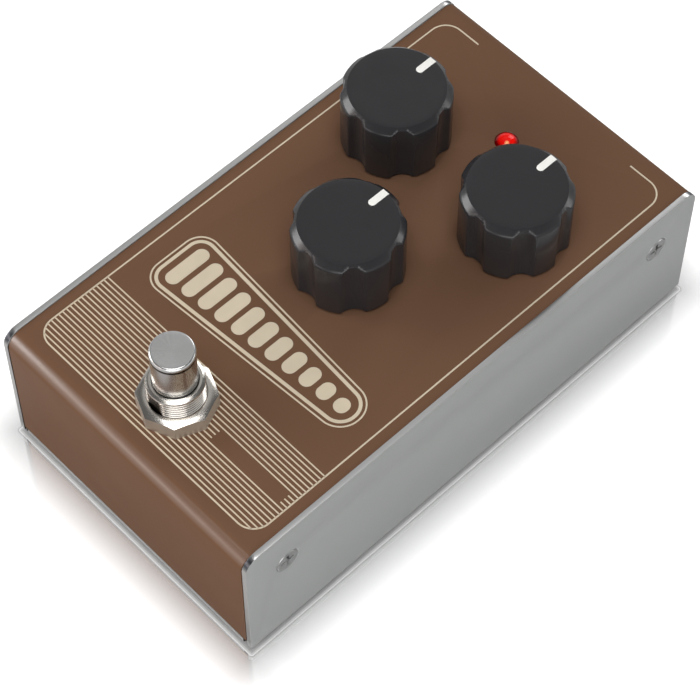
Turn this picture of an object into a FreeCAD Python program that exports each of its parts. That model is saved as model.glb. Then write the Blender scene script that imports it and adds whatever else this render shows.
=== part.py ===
"""Delay pedal: a folded chassis under a folded cover, three knobs on potentiometers,
a status light, a sprung footswitch, and two jacks and a power inlet on the rear wall.

Lengths are in millimetres. X runs across the pedal, Y towards its rear wall and Z up
from the floor. The case is drawn centred on X and Y. Every piece is moved forward at
export by half of what the jacks reach behind the case, so that the origin is the
middle of the whole outline, at floor level.
"""
import FreeCAD
import Part

import math
import os

V = FreeCAD.Vector
X = V(1, 0, 0)
Y = V(0, 1, 0)
Z = V(0, 0, 1)

# Case
case_width = 72.0
case_depth = 127.0
cover_top = 37.5
plate_proud = 0.2
chassis_sheet = 1.2
cover_sheet = 1.2
chassis_bend = 0.4
cover_bend = 2.3
plate_corner = 3.5
cover_side_gap = 0.3
lip_height = 2.35
cover_lip_gap = 0.35
relief_width = 0.8
foot_height = 0.7
foot_diameter = 10.0
foot_inset = 8.5

# Countersunk side screws, their brackets under the cover and the nuts in them
screw_diameter = 3.0
screw_length = 6.0
screw_height = 26.3
screw_from_end = 10.7
screw_head_diameter = 6.0
screw_head_depth = 1.5
screw_head_clearance = 0.05
screw_recess_width = 0.9
screw_recess_length = 3.4
screw_recess_depth = 1.0
bracket_width = 14.0
bracket_drop = 17.5
bracket_reach = 9.0
bracket_sheet = 1.2
bracket_bend = 0.4
clinch_nut_diameter = 5.5
clinch_nut_length = 2.5
thread_clearance = 0.05
nut_chamfer_deg = 20.0
bolt_clearance = 0.2

# Circuit board
board_screw_gap = 1.0
board_rear_gap = 3.8
board_front_margin = 2.5
board_thickness = 1.6
board_drop = 8.1
pin_radius = 0.5
pin_clearance = 0.15
pin_stub = 1.0
seat_gap = 0.2

# Potentiometers
knob_from_side = 18.75
knob_pair_from_rear = 35.3
knob_row_spacing = 30.3
pot_can_diameter = 16.4
pot_can_height = 7.3
pot_can_wall = 0.5
pot_wafer_thickness = 1.4
pot_wafer_clearance = 0.05
pot_terminal_pitch = 4.5
pot_terminal_offset = 5.0
pot_bushing_diameter = 7.0
pot_bushing_rise = 3.5
pot_bushing_flange = 0.8
pot_bushing_flange_rim = 1.3
pot_panel_clearance = 0.1
pot_washer_diameter = 12.0
pot_washer_thickness = 0.5
pot_nut_flats = 10.0
pot_nut_height = 2.0
shaft_diameter = 6.0
shaft_clearance = 0.04
shaft_rise = 14.0
shaft_flat_depth = 1.5
rotor_diameter = 12.0
rotor_thickness = 2.2
rotor_gap = 0.3
rotor_lug_width = 2.6
rotor_lug_reach = 1.2
wiper_width = 1.6
wiper_track_radius = 4.6
knob_turn_deg = 300.0
stop_clearance_deg = 4.0

# Knobs
knob_diameter = 23.5
knob_height = 15.9
knob_lift = 0.5
knob_flutes = 7
knob_flute_radius = 2.9
knob_flute_depth = 1.38
knob_shoulder_width = 1.45
knob_shoulder_height = 1.5
knob_recess_diameter = 14.0
knob_recess_depth = 3.5
knob_bore_clearance = 0.03
knob_bore_end_gap = 0.5
pointer_width = 1.7
pointer_inner = 5.8
pointer_outer = 10.5
pointer_depth = 0.6

# Status light
led_from_rear = 19.6
led_diameter = 5.0
led_dome_rise = 1.0
led_panel_clearance = 0.05
led_flange_diameter = 5.8
led_flange_height = 1.0
led_spacer_height = 3.2
led_lead_spread = 2.54
led_lead_radius = 0.25

# Footswitch
switch_from_front = 15.0
switch_bushing_diameter = 12.0
switch_bushing_rise = 9.4
switch_bushing_chamfer = 0.7
switch_bushing_foot = 1.5
switch_bushing_foot_rim = 1.5
switch_panel_clearance = 0.1
switch_nut_sides = 8
switch_nut_flats = 15.4
switch_nut_height = 4.35
switch_nut_rim = 1.4
switch_washer_diameter = 17.0
switch_washer_thickness = 0.6
switch_inner_nut_flats = 14.4
switch_inner_nut_height = 2.0
switch_body_width = 17.0
switch_body_depth = 17.5
switch_body_height = 17.0
switch_body_drop = 6.3
switch_body_wall = 1.2
switch_base_thickness = 2.0
button_diameter = 9.3
button_clearance = 0.05
button_rise = 19.6
button_bevel_width = 0.5
button_bevel_height = 1.25
button_travel = 3.0
button_flange_diameter = 11.0
button_flange_thickness = 1.5
button_stop_gap = 0.3
stem_diameter = 3.6
bridge_diameter = 6.2
bridge_thickness = 0.8
bridge_gap = 0.2
bridge_fit = 0.05
rivet_radius = 1.0
rivet_head_radius = 1.3
rivet_head_height = 0.8
lug_spread = 5.0
lug_width = 2.0
lug_thickness = 0.6
lug_length = 6.0
spring_diameter = 9.4
spring_wire = 0.7
spring_turns = 5
wire_diameter = 1.2
wire_drop = 5.0
header_width = 10.0
header_depth = 5.0
header_height = 4.0

# Jacks for 6.35 mm plugs
jack_from_side = 16.5
jack_body_width = 15.6
jack_body_height = 13.2
jack_body_depth = 25.5
jack_bore_radius = 3.25
jack_sleeve_diameter = 9.5
jack_sleeve_reach = 3.5
jack_sleeve_spigot = 2.0
jack_spigot_diameter = 8.5
jack_panel_clearance = 0.15
jack_washer_diameter = 14.0
jack_washer_thickness = 0.5
jack_nut_flats = 13.0
jack_nut_height = 2.2

# Contact leaves of the jacks and the power inlet
leaf_width = 2.8
leaf_thickness = 0.4
leaf_bore_gap = 0.2
leaf_slot_clearance = 0.2
jack_leaf_length = 6.0
jack_leaf_margin = 2.5

# Power inlet for a 5.5 mm barrel plug with a 2.1 mm centre pin
inlet_width = 9.0
inlet_height = 11.0
inlet_depth = 14.0
inlet_panel_clearance = 0.2
inlet_bore_radius = 2.85
inlet_bore_depth = 9.5
inlet_pin_radius = 1.0
inlet_pin_setback = 1.0
inlet_pin_fit = 0.03
inlet_tab_width = 2.0
inlet_tab_thickness = 0.6

# Components under the board
dip_body_width = 6.35
dip_body_height = 3.3
dip_lead_spread = 7.62
dip_pitch = 2.54
dip_lead_width = 0.5
dip_lead_thickness = 0.3
dip_standoff = 0.5
delay_pin_count = 16
amplifier_pin_count = 8
can_cap_diameter = 6.3
can_cap_height = 11.0
can_cap_groove = 0.3
film_cap_length = 7.2
film_cap_width = 2.6
film_cap_height = 7.0
resistor_length = 6.3
resistor_diameter = 2.3
resistor_lead_spread = 10.16
resistor_lead_radius = 0.3
relay_length = 15.0
relay_width = 7.5
relay_height = 10.0
trimmer_diameter = 6.4
trimmer_height = 4.5
trimmer_slot = 0.6

# Where the components stand, from the middle of the board's rear edge
header_place = (0.0, -76.0)
delay_chip_places = [(-17.0, -50.0), (-6.0, -50.0)]
amplifier_places = [(7.0, -46.5), (17.5, -46.5), (16.0, -66.5)]
can_cap_places = [(-20.0, -67.0), (-12.0, -67.0), (7.5, -58.0), (17.5, -56.6)]
film_cap_places = [(-19.0, -73.0), (-10.4, -73.0), (10.5, -75.0), (19.0, -75.0)]
resistor_places = [(-17.0, -77.3), (16.5, -78.8), (0.0, -36.5)]
relay_place = (0.0, -29.5)
trimmer_places = [(-20.0, -28.0), (20.0, -28.0)]

# Heights and faces that several pieces share
half_width = case_width / 2
half_depth = case_depth / 2
tray_top = foot_height + chassis_sheet
plate_top = cover_top + plate_proud
cover_under = cover_top - cover_sheet
cover_half_width = half_width - chassis_sheet - cover_side_gap
cover_edge = foot_height + lip_height + cover_lip_gap
wall_inside = half_depth - cover_sheet
board_top = cover_under - board_drop
board_under = board_top - board_thickness
board_rear = wall_inside - board_rear_gap
board_front = board_rear + header_place[1] - header_depth / 2 - board_front_margin
board_half_width = half_width - screw_length - board_screw_gap
pin_top = board_top + pin_stub
pin_foot = board_under - pin_stub

knob_underside = cover_top + knob_lift
knob_top = knob_underside + knob_height
knob_radius = knob_diameter / 2
knob_recess_top = knob_underside + knob_recess_depth
pot_radius = pot_can_diameter / 2
pot_inner_radius = pot_radius - pot_can_wall
pot_foot = cover_under - pot_can_height
pot_wafer_top = pot_foot + pot_wafer_thickness
pot_cavity_top = cover_under - pot_can_wall
pot_neck_radius = pot_bushing_diameter / 2
pot_flange_under = pot_cavity_top - pot_bushing_flange
pot_neck_top = cover_top + pot_bushing_rise
shaft_radius = shaft_diameter / 2
shaft_top = cover_top + shaft_rise
rotor_radius = rotor_diameter / 2
rotor_top = pot_flange_under - rotor_gap
rotor_foot = rotor_top - rotor_thickness

led_y = half_depth - led_from_rear
led_radius = led_diameter / 2
led_foot = board_top + led_spacer_height

switch_y = -half_depth + switch_from_front
switch_body_top = cover_under - switch_body_drop
switch_body_foot = switch_body_top - switch_body_height
switch_base_top = switch_body_foot + switch_base_thickness
switch_bore_radius = button_diameter / 2 + button_clearance
switch_washer_under = cover_under - switch_washer_thickness
button_stop = switch_body_top - switch_body_wall - button_stop_gap
button_flange_under = button_stop - button_flange_thickness
rivet_top = switch_base_top + rivet_head_height
bridge_foot = rivet_top + button_travel + bridge_gap
wire_height = switch_body_foot - wire_drop

jack_z = board_under - seat_gap - jack_body_height / 2
jack_front = wall_inside - jack_body_depth
sleeve_end = half_depth + jack_sleeve_reach
inlet_z = board_under - seat_gap - inlet_height / 2
inlet_rear = half_depth - inlet_depth

knob_x = half_width - knob_from_side
knob_pair_y = half_depth - knob_pair_from_rear
pot_places = {
    "left": V(-knob_x, knob_pair_y, 0),
    "right": V(knob_x, knob_pair_y, 0),
    "front": V(0, knob_pair_y - knob_row_spacing, 0),
}
jack_x = half_width - jack_from_side
jack_places = {"output": -jack_x, "input": jack_x}
corner_signs = [(sx, sy) for sx in (-1, 1) for sy in (-1, 1)]
screw_y = half_depth - screw_from_end


def box(x0, x1, y0, y1, z0, z1):
    """A box between two corners."""
    return Part.makeBox(x1 - x0, y1 - y0, z1 - z0, V(x0, y0, z0))


def block(x, y, width, depth, z0, z1):
    """An upright box centred on x, y."""
    return box(x - width / 2, x + width / 2, y - depth / 2, y + depth / 2, z0, z1)


def rod(radius, start, end, axis=Z, at=V(0, 0, 0)):
    """A cylinder from start to end along an axis through the point at."""
    return Part.makeCylinder(radius, end - start, at + axis * start, axis)


def ring(outer, inner, start, end, axis=Z, at=V(0, 0, 0)):
    """A straight tube from start to end along an axis through the point at."""
    return rod(outer, start, end, axis, at).cut(rod(inner, start - 1, end + 1, axis, at))


def joined(shapes):
    """One solid made of touching shapes, without the seams between them."""
    whole = shapes[0]
    if len(shapes) > 1:
        whole = whole.multiFuse(shapes[1:])
    return whole.removeSplitter()


def without(shape, tools):
    """The shape with every tool cut from it."""
    return shape.cut(Part.makeCompound(tools))


def moved(shape, offset):
    """A copy of the shape, moved."""
    copy = shape.copy()
    copy.translate(offset)
    return copy


def on_board(place):
    """A point given from the middle of the board's rear edge."""
    return V(place[0], board_rear + place[1], 0)


def arc_corner(centre, radius, start_deg, sweep_deg, at):
    """A quarter-round edge about a 2D centre, put in space by the function at."""
    points = []
    for part in (0, 0.5, 1):
        angle = math.radians(start_deg + sweep_deg * part)
        points.append(at(centre[0] + radius * math.cos(angle), centre[1] + radius * math.sin(angle)))
    return Part.Arc(*points).toShape()


def rounded_slab(half, low, high, low_radius, high_radius, length, axis):
    """A rounded rectangle between two heights, run along X or Y through the middle.

    A radius of zero leaves that pair of corners square.
    """
    def at(across, height):
        return V(across, -length / 2, height) if axis == Y else V(-length / 2, across, height)

    corners = [
        (half, low, low_radius, -90), (half, high, high_radius, 0),
        (-half, high, high_radius, 90), (-half, low, low_radius, 180),
    ]
    edges = []
    ends = []
    for across, height, radius, start in corners:
        centre = (across - math.copysign(radius, across), height + (radius if height == low else -radius))
        if radius > 0:
            edges.append(arc_corner(centre, radius, start, 90, at))
            ends.append((edges[-1].Vertexes[0].Point, edges[-1].Vertexes[-1].Point))
        else:
            ends.append((at(*centre), at(*centre)))
    for this, following in zip(ends, ends[1:] + ends[:1]):
        edges.append(Part.makeLine(this[1], following[0]))
    face = Part.Face(Part.Wire(Part.__sortEdges__(edges)))
    return face.extrude(axis * length)


def upright_channel(half, web, edge, sheet, bend, length, axis):
    """A folded sheet: a flat web at the bottom and two legs up to the edge height."""
    outer = rounded_slab(half, web, edge, bend + sheet, 0, length, axis)
    inner = rounded_slab(half - sheet, web + sheet, edge + 1, bend, 0, length + 2, axis)
    return outer.cut(inner)


def hanging_channel(half, web, edge, sheet, bend, length, axis):
    """A folded sheet: a flat web at the top and two legs down to the edge height."""
    outer = rounded_slab(half, edge, web, 0, bend + sheet, length, axis)
    inner = rounded_slab(half - sheet, edge - 1, web - sheet, 0, bend, length + 2, axis)
    return outer.cut(inner)


def nut(flats, bore, start, end, axis, at, upright, sides=6, rim=0):
    """A nut with a corner on the upright line, chamfered at its far end.

    The chamfer starts inside the flats by the rim, or at them without one.
    """
    corner = flats / 2 / math.cos(math.pi / sides)
    points = []
    for k in range(sides + 1):
        turn = FreeCAD.Rotation(axis, 360 / sides * k)
        points.append(at + axis * start + turn.multVec(upright * corner))
    prism = Part.Face(Part.makePolygon(points)).extrude(axis * (end - start))
    inner = flats / 2 - rim
    drop = (corner - inner) * math.tan(math.radians(nut_chamfer_deg))
    slope = Part.makeCone(corner, inner, drop, at + axis * (end - drop), axis)
    crown = rod(corner + 0.01, start, end - drop, axis, at).fuse(slope)
    return prism.common(crown).cut(rod(bore, start - 1, end + 1, axis, at))


def screw_axis_points():
    """Where each side screw's axis meets the outside of its side plate, with the inward axis."""
    return [(V(sx * half_width, sy * screw_y, screw_height), X * -sx) for sx, sy in corner_signs]


def chassis():
    """The tray and both side plates, folded from one sheet, with a low lip front and rear."""
    bend_outside = chassis_bend + chassis_sheet
    body = upright_channel(half_width, foot_height, plate_top, chassis_sheet, chassis_bend, case_depth, Y)
    flat_half = half_width - bend_outside
    notches = []
    for sy in (-1, 1):
        near = half_depth - bend_outside
        edges = sorted((sy * near, sy * (half_depth + 1)))
        notches.append(box(-flat_half, flat_half, edges[0], edges[1], foot_height - 1, tray_top + 1))
    body = without(body, notches)
    outline = rounded_slab(half_depth, foot_height, plate_top, bend_outside, plate_corner, case_width + 2, X)
    body = body.common(outline)
    lip_width = 2 * (flat_half - relief_width)
    lip_top = foot_height + lip_height
    lips = upright_channel(half_depth, foot_height, lip_top, chassis_sheet, chassis_bend, lip_width, X)
    body = joined([body, lips])
    wide = screw_head_diameter / 2 + screw_head_clearance
    holes = []
    for point, inward in screw_axis_points():
        reach = wide - screw_diameter / 2 - screw_head_clearance
        sink = Part.makeCone(wide, screw_diameter / 2 + screw_head_clearance, reach, point, inward)
        holes.append(sink)
        holes.append(rod(screw_diameter / 2 + bolt_clearance, 0, chassis_sheet + 1, inward, point))
    return without(body, holes)


def cover():
    """The folded top panel with its front and rear walls, pierced for what is fitted to it."""
    body = hanging_channel(half_depth, cover_top, cover_edge, cover_sheet, cover_bend,
                           2 * cover_half_width, X)
    low = cover_under - 1
    high = cover_top + 1
    holes = [rod(pot_neck_radius + pot_panel_clearance, low, high, Z, place)
             for place in pot_places.values()]
    holes.append(rod(led_radius + led_panel_clearance, low, high, Z, V(0, led_y, 0)))
    switch_hole = switch_bushing_diameter / 2 + switch_panel_clearance
    holes.append(rod(switch_hole, low, high, Z, V(0, switch_y, 0)))
    jack_hole = jack_sleeve_diameter / 2 + jack_panel_clearance
    for x in jack_places.values():
        holes.append(rod(jack_hole, wall_inside - 1, half_depth + 1, Y, V(x, 0, jack_z)))
    inlet_half = inlet_width / 2 + inlet_panel_clearance
    inlet_rise = inlet_height / 2 + inlet_panel_clearance
    holes.append(box(-inlet_half, inlet_half, wall_inside - 1, half_depth + 1,
                     inlet_z - inlet_rise, inlet_z + inlet_rise))
    return without(body, holes)


def cover_brackets():
    """Four folded angles under the cover that take the side screws."""
    strip = hanging_channel(cover_half_width, cover_under, cover_under - bracket_drop,
                            bracket_sheet, bracket_bend, bracket_width, Y)
    angles = []
    for sx, sy in corner_signs:
        near = cover_half_width - bracket_reach
        edges = sorted((sx * near, sx * (cover_half_width + 1)))
        keep = box(edges[0], edges[1], -bracket_width, bracket_width, 0, cover_top)
        angle = moved(strip.common(keep), V(0, sy * screw_y, 0))
        point = V(sx * half_width, sy * screw_y, screw_height)
        hole = rod(screw_diameter / 2 + bolt_clearance, 0, case_width / 4, X * -sx, point)
        angles.append(angle.cut(hole))
    return angles


def clinch_nuts():
    """A threaded barrel pressed against the inside of each bracket."""
    start = half_width - cover_half_width + bracket_sheet
    bore = screw_diameter / 2 + thread_clearance
    return [ring(clinch_nut_diameter / 2, bore, start, start + clinch_nut_length, inward, point)
            for point, inward in screw_axis_points()]


def side_screws():
    """Four countersunk screws with a cross recess, flush with the side plates."""
    screws = []
    for point, inward in screw_axis_points():
        head = Part.makeCone(screw_head_diameter / 2, screw_diameter / 2, screw_head_depth, point, inward)
        shank = rod(screw_diameter / 2, screw_head_depth, screw_length, inward, point)
        screw = joined([head, shank])
        slots = []
        for across, up in ((screw_recess_length, screw_recess_width),
                           (screw_recess_width, screw_recess_length)):
            slots.append(box(point.x - screw_recess_depth, point.x + screw_recess_depth,
                             point.y - across / 2, point.y + across / 2,
                             point.z - up / 2, point.z + up / 2))
        screws.append(without(screw, slots))
    return screws


def rubber_feet():
    """Four round pads under the tray."""
    reach_x = half_width - foot_inset
    reach_y = half_depth - foot_inset
    return [rod(foot_diameter / 2, 0, foot_height, Z, V(sx * reach_x, sy * reach_y, 0))
            for sx, sy in corner_signs]


def pot_pin_points():
    """Where the potentiometers' terminals pass through the board."""
    points = []
    for place in pot_places.values():
        for step in (-1, 0, 1):
            points.append(place + V(step * pot_terminal_pitch, -pot_terminal_offset, 0))
    return points


def jack_leaf_spans():
    """Start and end of a jack's two contact leaves along Y."""
    first = jack_front + jack_leaf_margin
    last = wall_inside - jack_sleeve_spigot - jack_leaf_margin
    return [(first, first + jack_leaf_length), (last - jack_leaf_length, last)]


def inlet_leaf_span():
    """Start and end of the power inlet's contact leaf along Y."""
    first = half_depth - inlet_bore_depth
    return (first, first + inlet_bore_depth / 2)


def leaf_pin_point(x, span):
    """Where a leaf's pin stands."""
    return V(x, (span[0] + span[1]) / 2, 0)


def main_board():
    """The circuit board, pierced for the pins that pass through it."""
    body = box(-board_half_width, board_half_width, board_front, board_rear, board_under, board_top)
    points = pot_pin_points()
    for x in jack_places.values():
        points += [leaf_pin_point(x, span) for span in jack_leaf_spans()]
    points.append(leaf_pin_point(0, inlet_leaf_span()))
    low = board_under - 1
    high = board_top + 1
    holes = [rod(pin_radius + pin_clearance, low, high, Z, point) for point in points]
    for side in (-1, 1):
        lead = V(side * led_lead_spread / 2, led_y, 0)
        holes.append(rod(led_lead_radius + pin_clearance, low, high, Z, lead))
    tab_y = inlet_rear - inlet_tab_thickness / 2
    holes.append(block(0, tab_y, inlet_tab_width + 2 * pin_clearance,
                       inlet_tab_thickness + 2 * pin_clearance, low, high))
    return without(body, holes)


def stop_half_deg():
    """Half the angle that the fixed stop takes, from the free turn and the rotor's lug."""
    lug_half = math.degrees(math.asin(rotor_lug_width / 2 / rotor_radius))
    return (360 - knob_turn_deg) / 2 - lug_half - stop_clearance_deg


def pot_housing():
    """The open-bottomed can, with the stop that ends the rotor's turn."""
    can = rod(pot_radius, pot_foot, cover_under)
    can = can.cut(rod(pot_inner_radius, pot_foot - 1, pot_cavity_top))
    can = can.cut(rod(pot_neck_radius + thread_clearance, pot_foot, cover_under + 1))
    width = 2 * rotor_radius * math.sin(math.radians(stop_half_deg()))
    outer = pot_inner_radius + pot_can_wall / 2
    inner = rotor_radius + rotor_gap
    stop = box(-width / 2, width / 2, -outer, -inner, rotor_foot, pot_cavity_top)
    return joined([can, stop])


def pot_bushing():
    """The threaded neck that the shaft turns in, with a flange inside the can."""
    neck = rod(pot_neck_radius, pot_flange_under, pot_neck_top)
    flange = rod(pot_neck_radius + pot_bushing_flange_rim, pot_flange_under, pot_cavity_top)
    bore = rod(shaft_radius + shaft_clearance, pot_flange_under - 1, pot_neck_top + 1)
    return joined([neck, flange]).cut(bore)


def pot_wafers():
    """The discs with the resistance tracks that close the cans."""
    return [rod(pot_inner_radius - pot_wafer_clearance, pot_foot, pot_wafer_top, Z, place)
            for place in pot_places.values()]


def pot_terminals():
    """Three pins under each wafer, through the board."""
    return [rod(pin_radius, pin_foot, pot_foot, Z, point) for point in pot_pin_points()]


def pot_washers():
    """The flat washers between the cover and the nuts."""
    return [ring(pot_washer_diameter / 2, pot_neck_radius + pot_panel_clearance, cover_top,
                 cover_top + pot_washer_thickness, Z, place) for place in pot_places.values()]


def pot_nuts():
    """The nuts that hold the potentiometers to the cover."""
    start = cover_top + pot_washer_thickness
    return [nut(pot_nut_flats, pot_neck_radius + thread_clearance, start, start + pot_nut_height,
                    Z, place, X) for place in pot_places.values()]


def flatted_rod(radius, flat, start, flat_start, end):
    """A rod whose upper part has a flat on its rear side."""
    body = rod(radius, start, end)
    return body.cut(box(-radius, radius, flat, radius + 1, flat_start, end + 1))


def shaft():
    """The turning shaft, flatted where the knob grips it."""
    return flatted_rod(shaft_radius, shaft_radius - shaft_flat_depth, rotor_foot,
                       knob_recess_top, shaft_top)


def rotor():
    """The wiper carrier on the shaft's lower end, with its stop lug and two wiper feet."""
    disc = rod(rotor_radius, rotor_foot, rotor_top)
    lug = box(-rotor_lug_width / 2, rotor_lug_width / 2, 0, rotor_radius + rotor_lug_reach,
              rotor_foot, rotor_top)
    feet = [block(0, side * wiper_track_radius, wiper_width, wiper_width,
                  pot_wafer_top + rotor_gap, rotor_foot + rotor_thickness / 2) for side in (-1, 1)]
    bore = rod(shaft_radius + knob_bore_clearance, pot_foot, cover_top)
    return joined([disc, lug] + feet).cut(bore)


def pointer():
    """The inlaid pointer bar, round at its inner end."""
    low = knob_top - pointer_depth
    half = pointer_width / 2
    bar = box(-half, half, pointer_inner + half, pointer_outer, low, knob_top)
    tip = rod(half, low, knob_top, Z, V(0, pointer_inner + half, 0))
    return joined([bar, tip])


def knob_envelope():
    """The plain turned shape that the flutes are cut into: upright sides and a round shoulder."""
    flat_radius = knob_radius - knob_shoulder_width
    shoulder = knob_top - knob_shoulder_height
    half = math.sqrt(0.5)
    middle = V(flat_radius + knob_shoulder_width * half, 0, shoulder + knob_shoulder_height * half)
    foot, side = V(0, 0, knob_underside), V(knob_radius, 0, knob_underside)
    edge, rim, top = V(knob_radius, 0, shoulder), V(flat_radius, 0, knob_top), V(0, 0, knob_top)
    outline = [Part.makeLine(foot, side), Part.makeLine(side, edge), Part.Arc(edge, middle, rim).toShape(),
               Part.makeLine(rim, top), Part.makeLine(top, foot)]
    return Part.Face(Part.Wire(outline)).revolve(V(0, 0, 0), Z, 360)


def knob():
    """The fluted knob, hollow underneath over the nut, with a flatted bore."""
    body = rod(knob_radius, knob_underside, knob_top)
    flute_centre = knob_radius - knob_flute_depth + knob_flute_radius
    flutes = []
    for k in range(knob_flutes):
        angle = math.radians(-90 + k * 360 / knob_flutes)
        centre = V(flute_centre * math.cos(angle), flute_centre * math.sin(angle), 0)
        flutes.append(rod(knob_flute_radius, knob_underside - 1, knob_top + 1, Z, centre))
    body = without(body, flutes)
    body = body.common(knob_envelope())
    recess = rod(knob_recess_diameter / 2, knob_underside - 1, knob_recess_top)
    bore = flatted_rod(shaft_radius + knob_bore_clearance,
                       shaft_radius - shaft_flat_depth + knob_bore_clearance,
                       knob_underside, knob_underside, shaft_top + knob_bore_end_gap)
    return without(body, [recess, bore, pointer()])


def status_led():
    """The domed light in its hole, on a flange."""
    at = V(0, led_y, 0)
    stem = rod(led_radius, led_foot, cover_top, Z, at)
    flange = rod(led_flange_diameter / 2, led_foot, led_foot + led_flange_height, Z, at)
    ball_radius = (led_radius ** 2 + led_dome_rise ** 2) / (2 * led_dome_rise)
    ball = Part.makeSphere(ball_radius, at + V(0, 0, cover_top + led_dome_rise - ball_radius))
    dome = ball.common(rod(led_radius, cover_top, cover_top + 2 * led_dome_rise, Z, at))
    return joined([stem, flange, dome])


def led_lead_points():
    """The axes of the light's two leads."""
    return [V(side * led_lead_spread / 2, led_y, 0) for side in (-1, 1)]


def led_leads():
    """Two straight leads from the light through the board."""
    return [rod(led_lead_radius, pin_foot, led_foot, Z, point) for point in led_lead_points()]


def led_spacer():
    """The round spacer between the board and the light."""
    body = rod(led_flange_diameter / 2, board_top, led_foot, Z, V(0, led_y, 0))
    return without(body, [rod(led_lead_radius + pin_clearance, board_top - 1, led_foot + 1, Z, point)
                          for point in led_lead_points()])


def switch_at():
    """The footswitch's axis on the floor."""
    return V(0, switch_y, 0)


def footswitch_bushing():
    """The threaded bushing that the button slides in, on a wider foot."""
    radius = switch_bushing_diameter / 2
    top = cover_top + switch_bushing_rise
    neck = rod(radius, switch_body_top, top - switch_bushing_chamfer, Z, switch_at())
    crown = Part.makeCone(radius, radius - switch_bushing_chamfer, switch_bushing_chamfer,
                          switch_at() + V(0, 0, top - switch_bushing_chamfer), Z)
    foot = rod(radius + switch_bushing_foot_rim, switch_body_top,
               switch_body_top + switch_bushing_foot, Z, switch_at())
    bore = rod(switch_bore_radius, switch_body_top - 1, top + 1, Z, switch_at())
    return joined([neck, crown, foot]).cut(bore)


def footswitch_nut():
    """The large eight-sided nut on top of the cover."""
    return nut(switch_nut_flats, switch_bushing_diameter / 2 + thread_clearance,
               cover_top, cover_top + switch_nut_height, Z, switch_at(), X,
               switch_nut_sides, switch_nut_rim)


def footswitch_washer():
    """The lock washer under the cover."""
    return ring(switch_washer_diameter / 2, switch_bushing_diameter / 2 + switch_panel_clearance,
                switch_washer_under, cover_under, Z, switch_at())


def footswitch_inner_nut():
    """The nut below the lock washer."""
    return nut(switch_inner_nut_flats, switch_bushing_diameter / 2 + thread_clearance,
               switch_washer_under - switch_inner_nut_height, switch_washer_under,
               Z, switch_at(), X)


def switch_block(margin, z0, z1):
    """A box with the switch's plan, drawn in by a margin."""
    return block(0, switch_y, switch_body_width - 2 * margin, switch_body_depth - 2 * margin, z0, z1)


def footswitch_housing():
    """The metal case of the switch, open below."""
    body = switch_block(0, switch_body_foot, switch_body_top)
    cavity = switch_block(switch_body_wall, switch_body_foot - 1, switch_body_top - switch_body_wall)
    mouth = rod(switch_bore_radius, switch_body_foot, switch_body_top + 1, Z, switch_at())
    return without(body, [cavity, mouth])


def footswitch_base():
    """The insulating base that closes the switch and carries its contacts."""
    body = switch_block(switch_body_wall, switch_body_foot, switch_base_top)
    holes = [rod(rivet_radius + bridge_fit, switch_body_foot - 1, switch_base_top + 1, Z, point)
             for point in lug_points()]
    return without(body, holes)


def lug_points():
    """The axes of the two fixed contacts."""
    return [V(side * lug_spread / 2, switch_y, 0) for side in (-1, 1)]


def footswitch_lugs():
    """The two fixed contacts: a rivet through the base with a solder lug below it."""
    lugs = []
    for point in lug_points():
        rivet = rod(rivet_radius, switch_body_foot, rivet_top, Z, point)
        head = rod(rivet_head_radius, switch_base_top, rivet_top, Z, point)
        lug = block(point.x, point.y, lug_width, lug_thickness,
                    switch_body_foot - lug_length, switch_body_foot)
        lugs.append(joined([rivet, head, lug]))
    return lugs


def footswitch_button():
    """The pressed part: the bevelled cap, its stop flange and the stem below."""
    radius = button_diameter / 2
    top = cover_top + button_rise
    cap = rod(radius, button_stop, top - button_bevel_height, Z, switch_at())
    bevel = Part.makeCone(radius, radius - button_bevel_width, button_bevel_height,
                          switch_at() + V(0, 0, top - button_bevel_height), Z)
    flange = rod(button_flange_diameter / 2, button_flange_under, button_stop, Z, switch_at())
    stem = rod(stem_diameter / 2, bridge_foot + bridge_thickness, button_flange_under, Z, switch_at())
    pin = rod(stem_diameter / 4, bridge_foot, bridge_foot + bridge_thickness, Z, switch_at())
    return joined([cap, bevel, flange, stem, pin])


def footswitch_bridge():
    """The disc on the stem that joins the fixed contacts when pressed."""
    return ring(bridge_diameter / 2, stem_diameter / 4 + bridge_fit, bridge_foot,
                bridge_foot + bridge_thickness, Z, switch_at())


def footswitch_spring():
    """The return spring between the base and the button's flange."""
    half_wire = spring_wire / 2
    low = switch_base_top + half_wire
    high = button_flange_under - half_wire
    radius = spring_diameter / 2 - half_wire
    path = Part.makeHelix((high - low) / spring_turns, high - low, radius)
    path.translate(switch_at() + V(0, 0, low))
    start = switch_at() + V(radius, 0, low)
    section = Part.Wire(Part.makeCircle(half_wire, start, Y))
    return Part.Wire(path).makePipeShell([section], True, False)


def corner_tube(start, corner, end, radius):
    """A round wire from start to end with one tangent bend near the corner, and the bend's radius."""
    first = corner - start
    second = end - corner
    shorter = min(first.Length, second.Length)
    half_turn = first.getAngle(second) / 2
    bend = 0.45 * shorter / math.tan(half_turn)
    setback = bend * math.tan(half_turn)
    first.normalize()
    second.normalize()
    arc_start = corner - first * setback
    arc_end = corner + second * setback
    inward = second - first
    inward.normalize()
    middle = corner + inward * (bend / math.cos(half_turn) - bend)
    path = Part.Wire([
        Part.LineSegment(start, arc_start).toShape(),
        Part.Arc(arc_start, middle, arc_end).toShape(),
        Part.LineSegment(arc_end, end).toShape(),
    ])
    section = Part.Wire(Part.makeCircle(radius, start, first))
    return path.makePipeShell([section], True, False), bend


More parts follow.
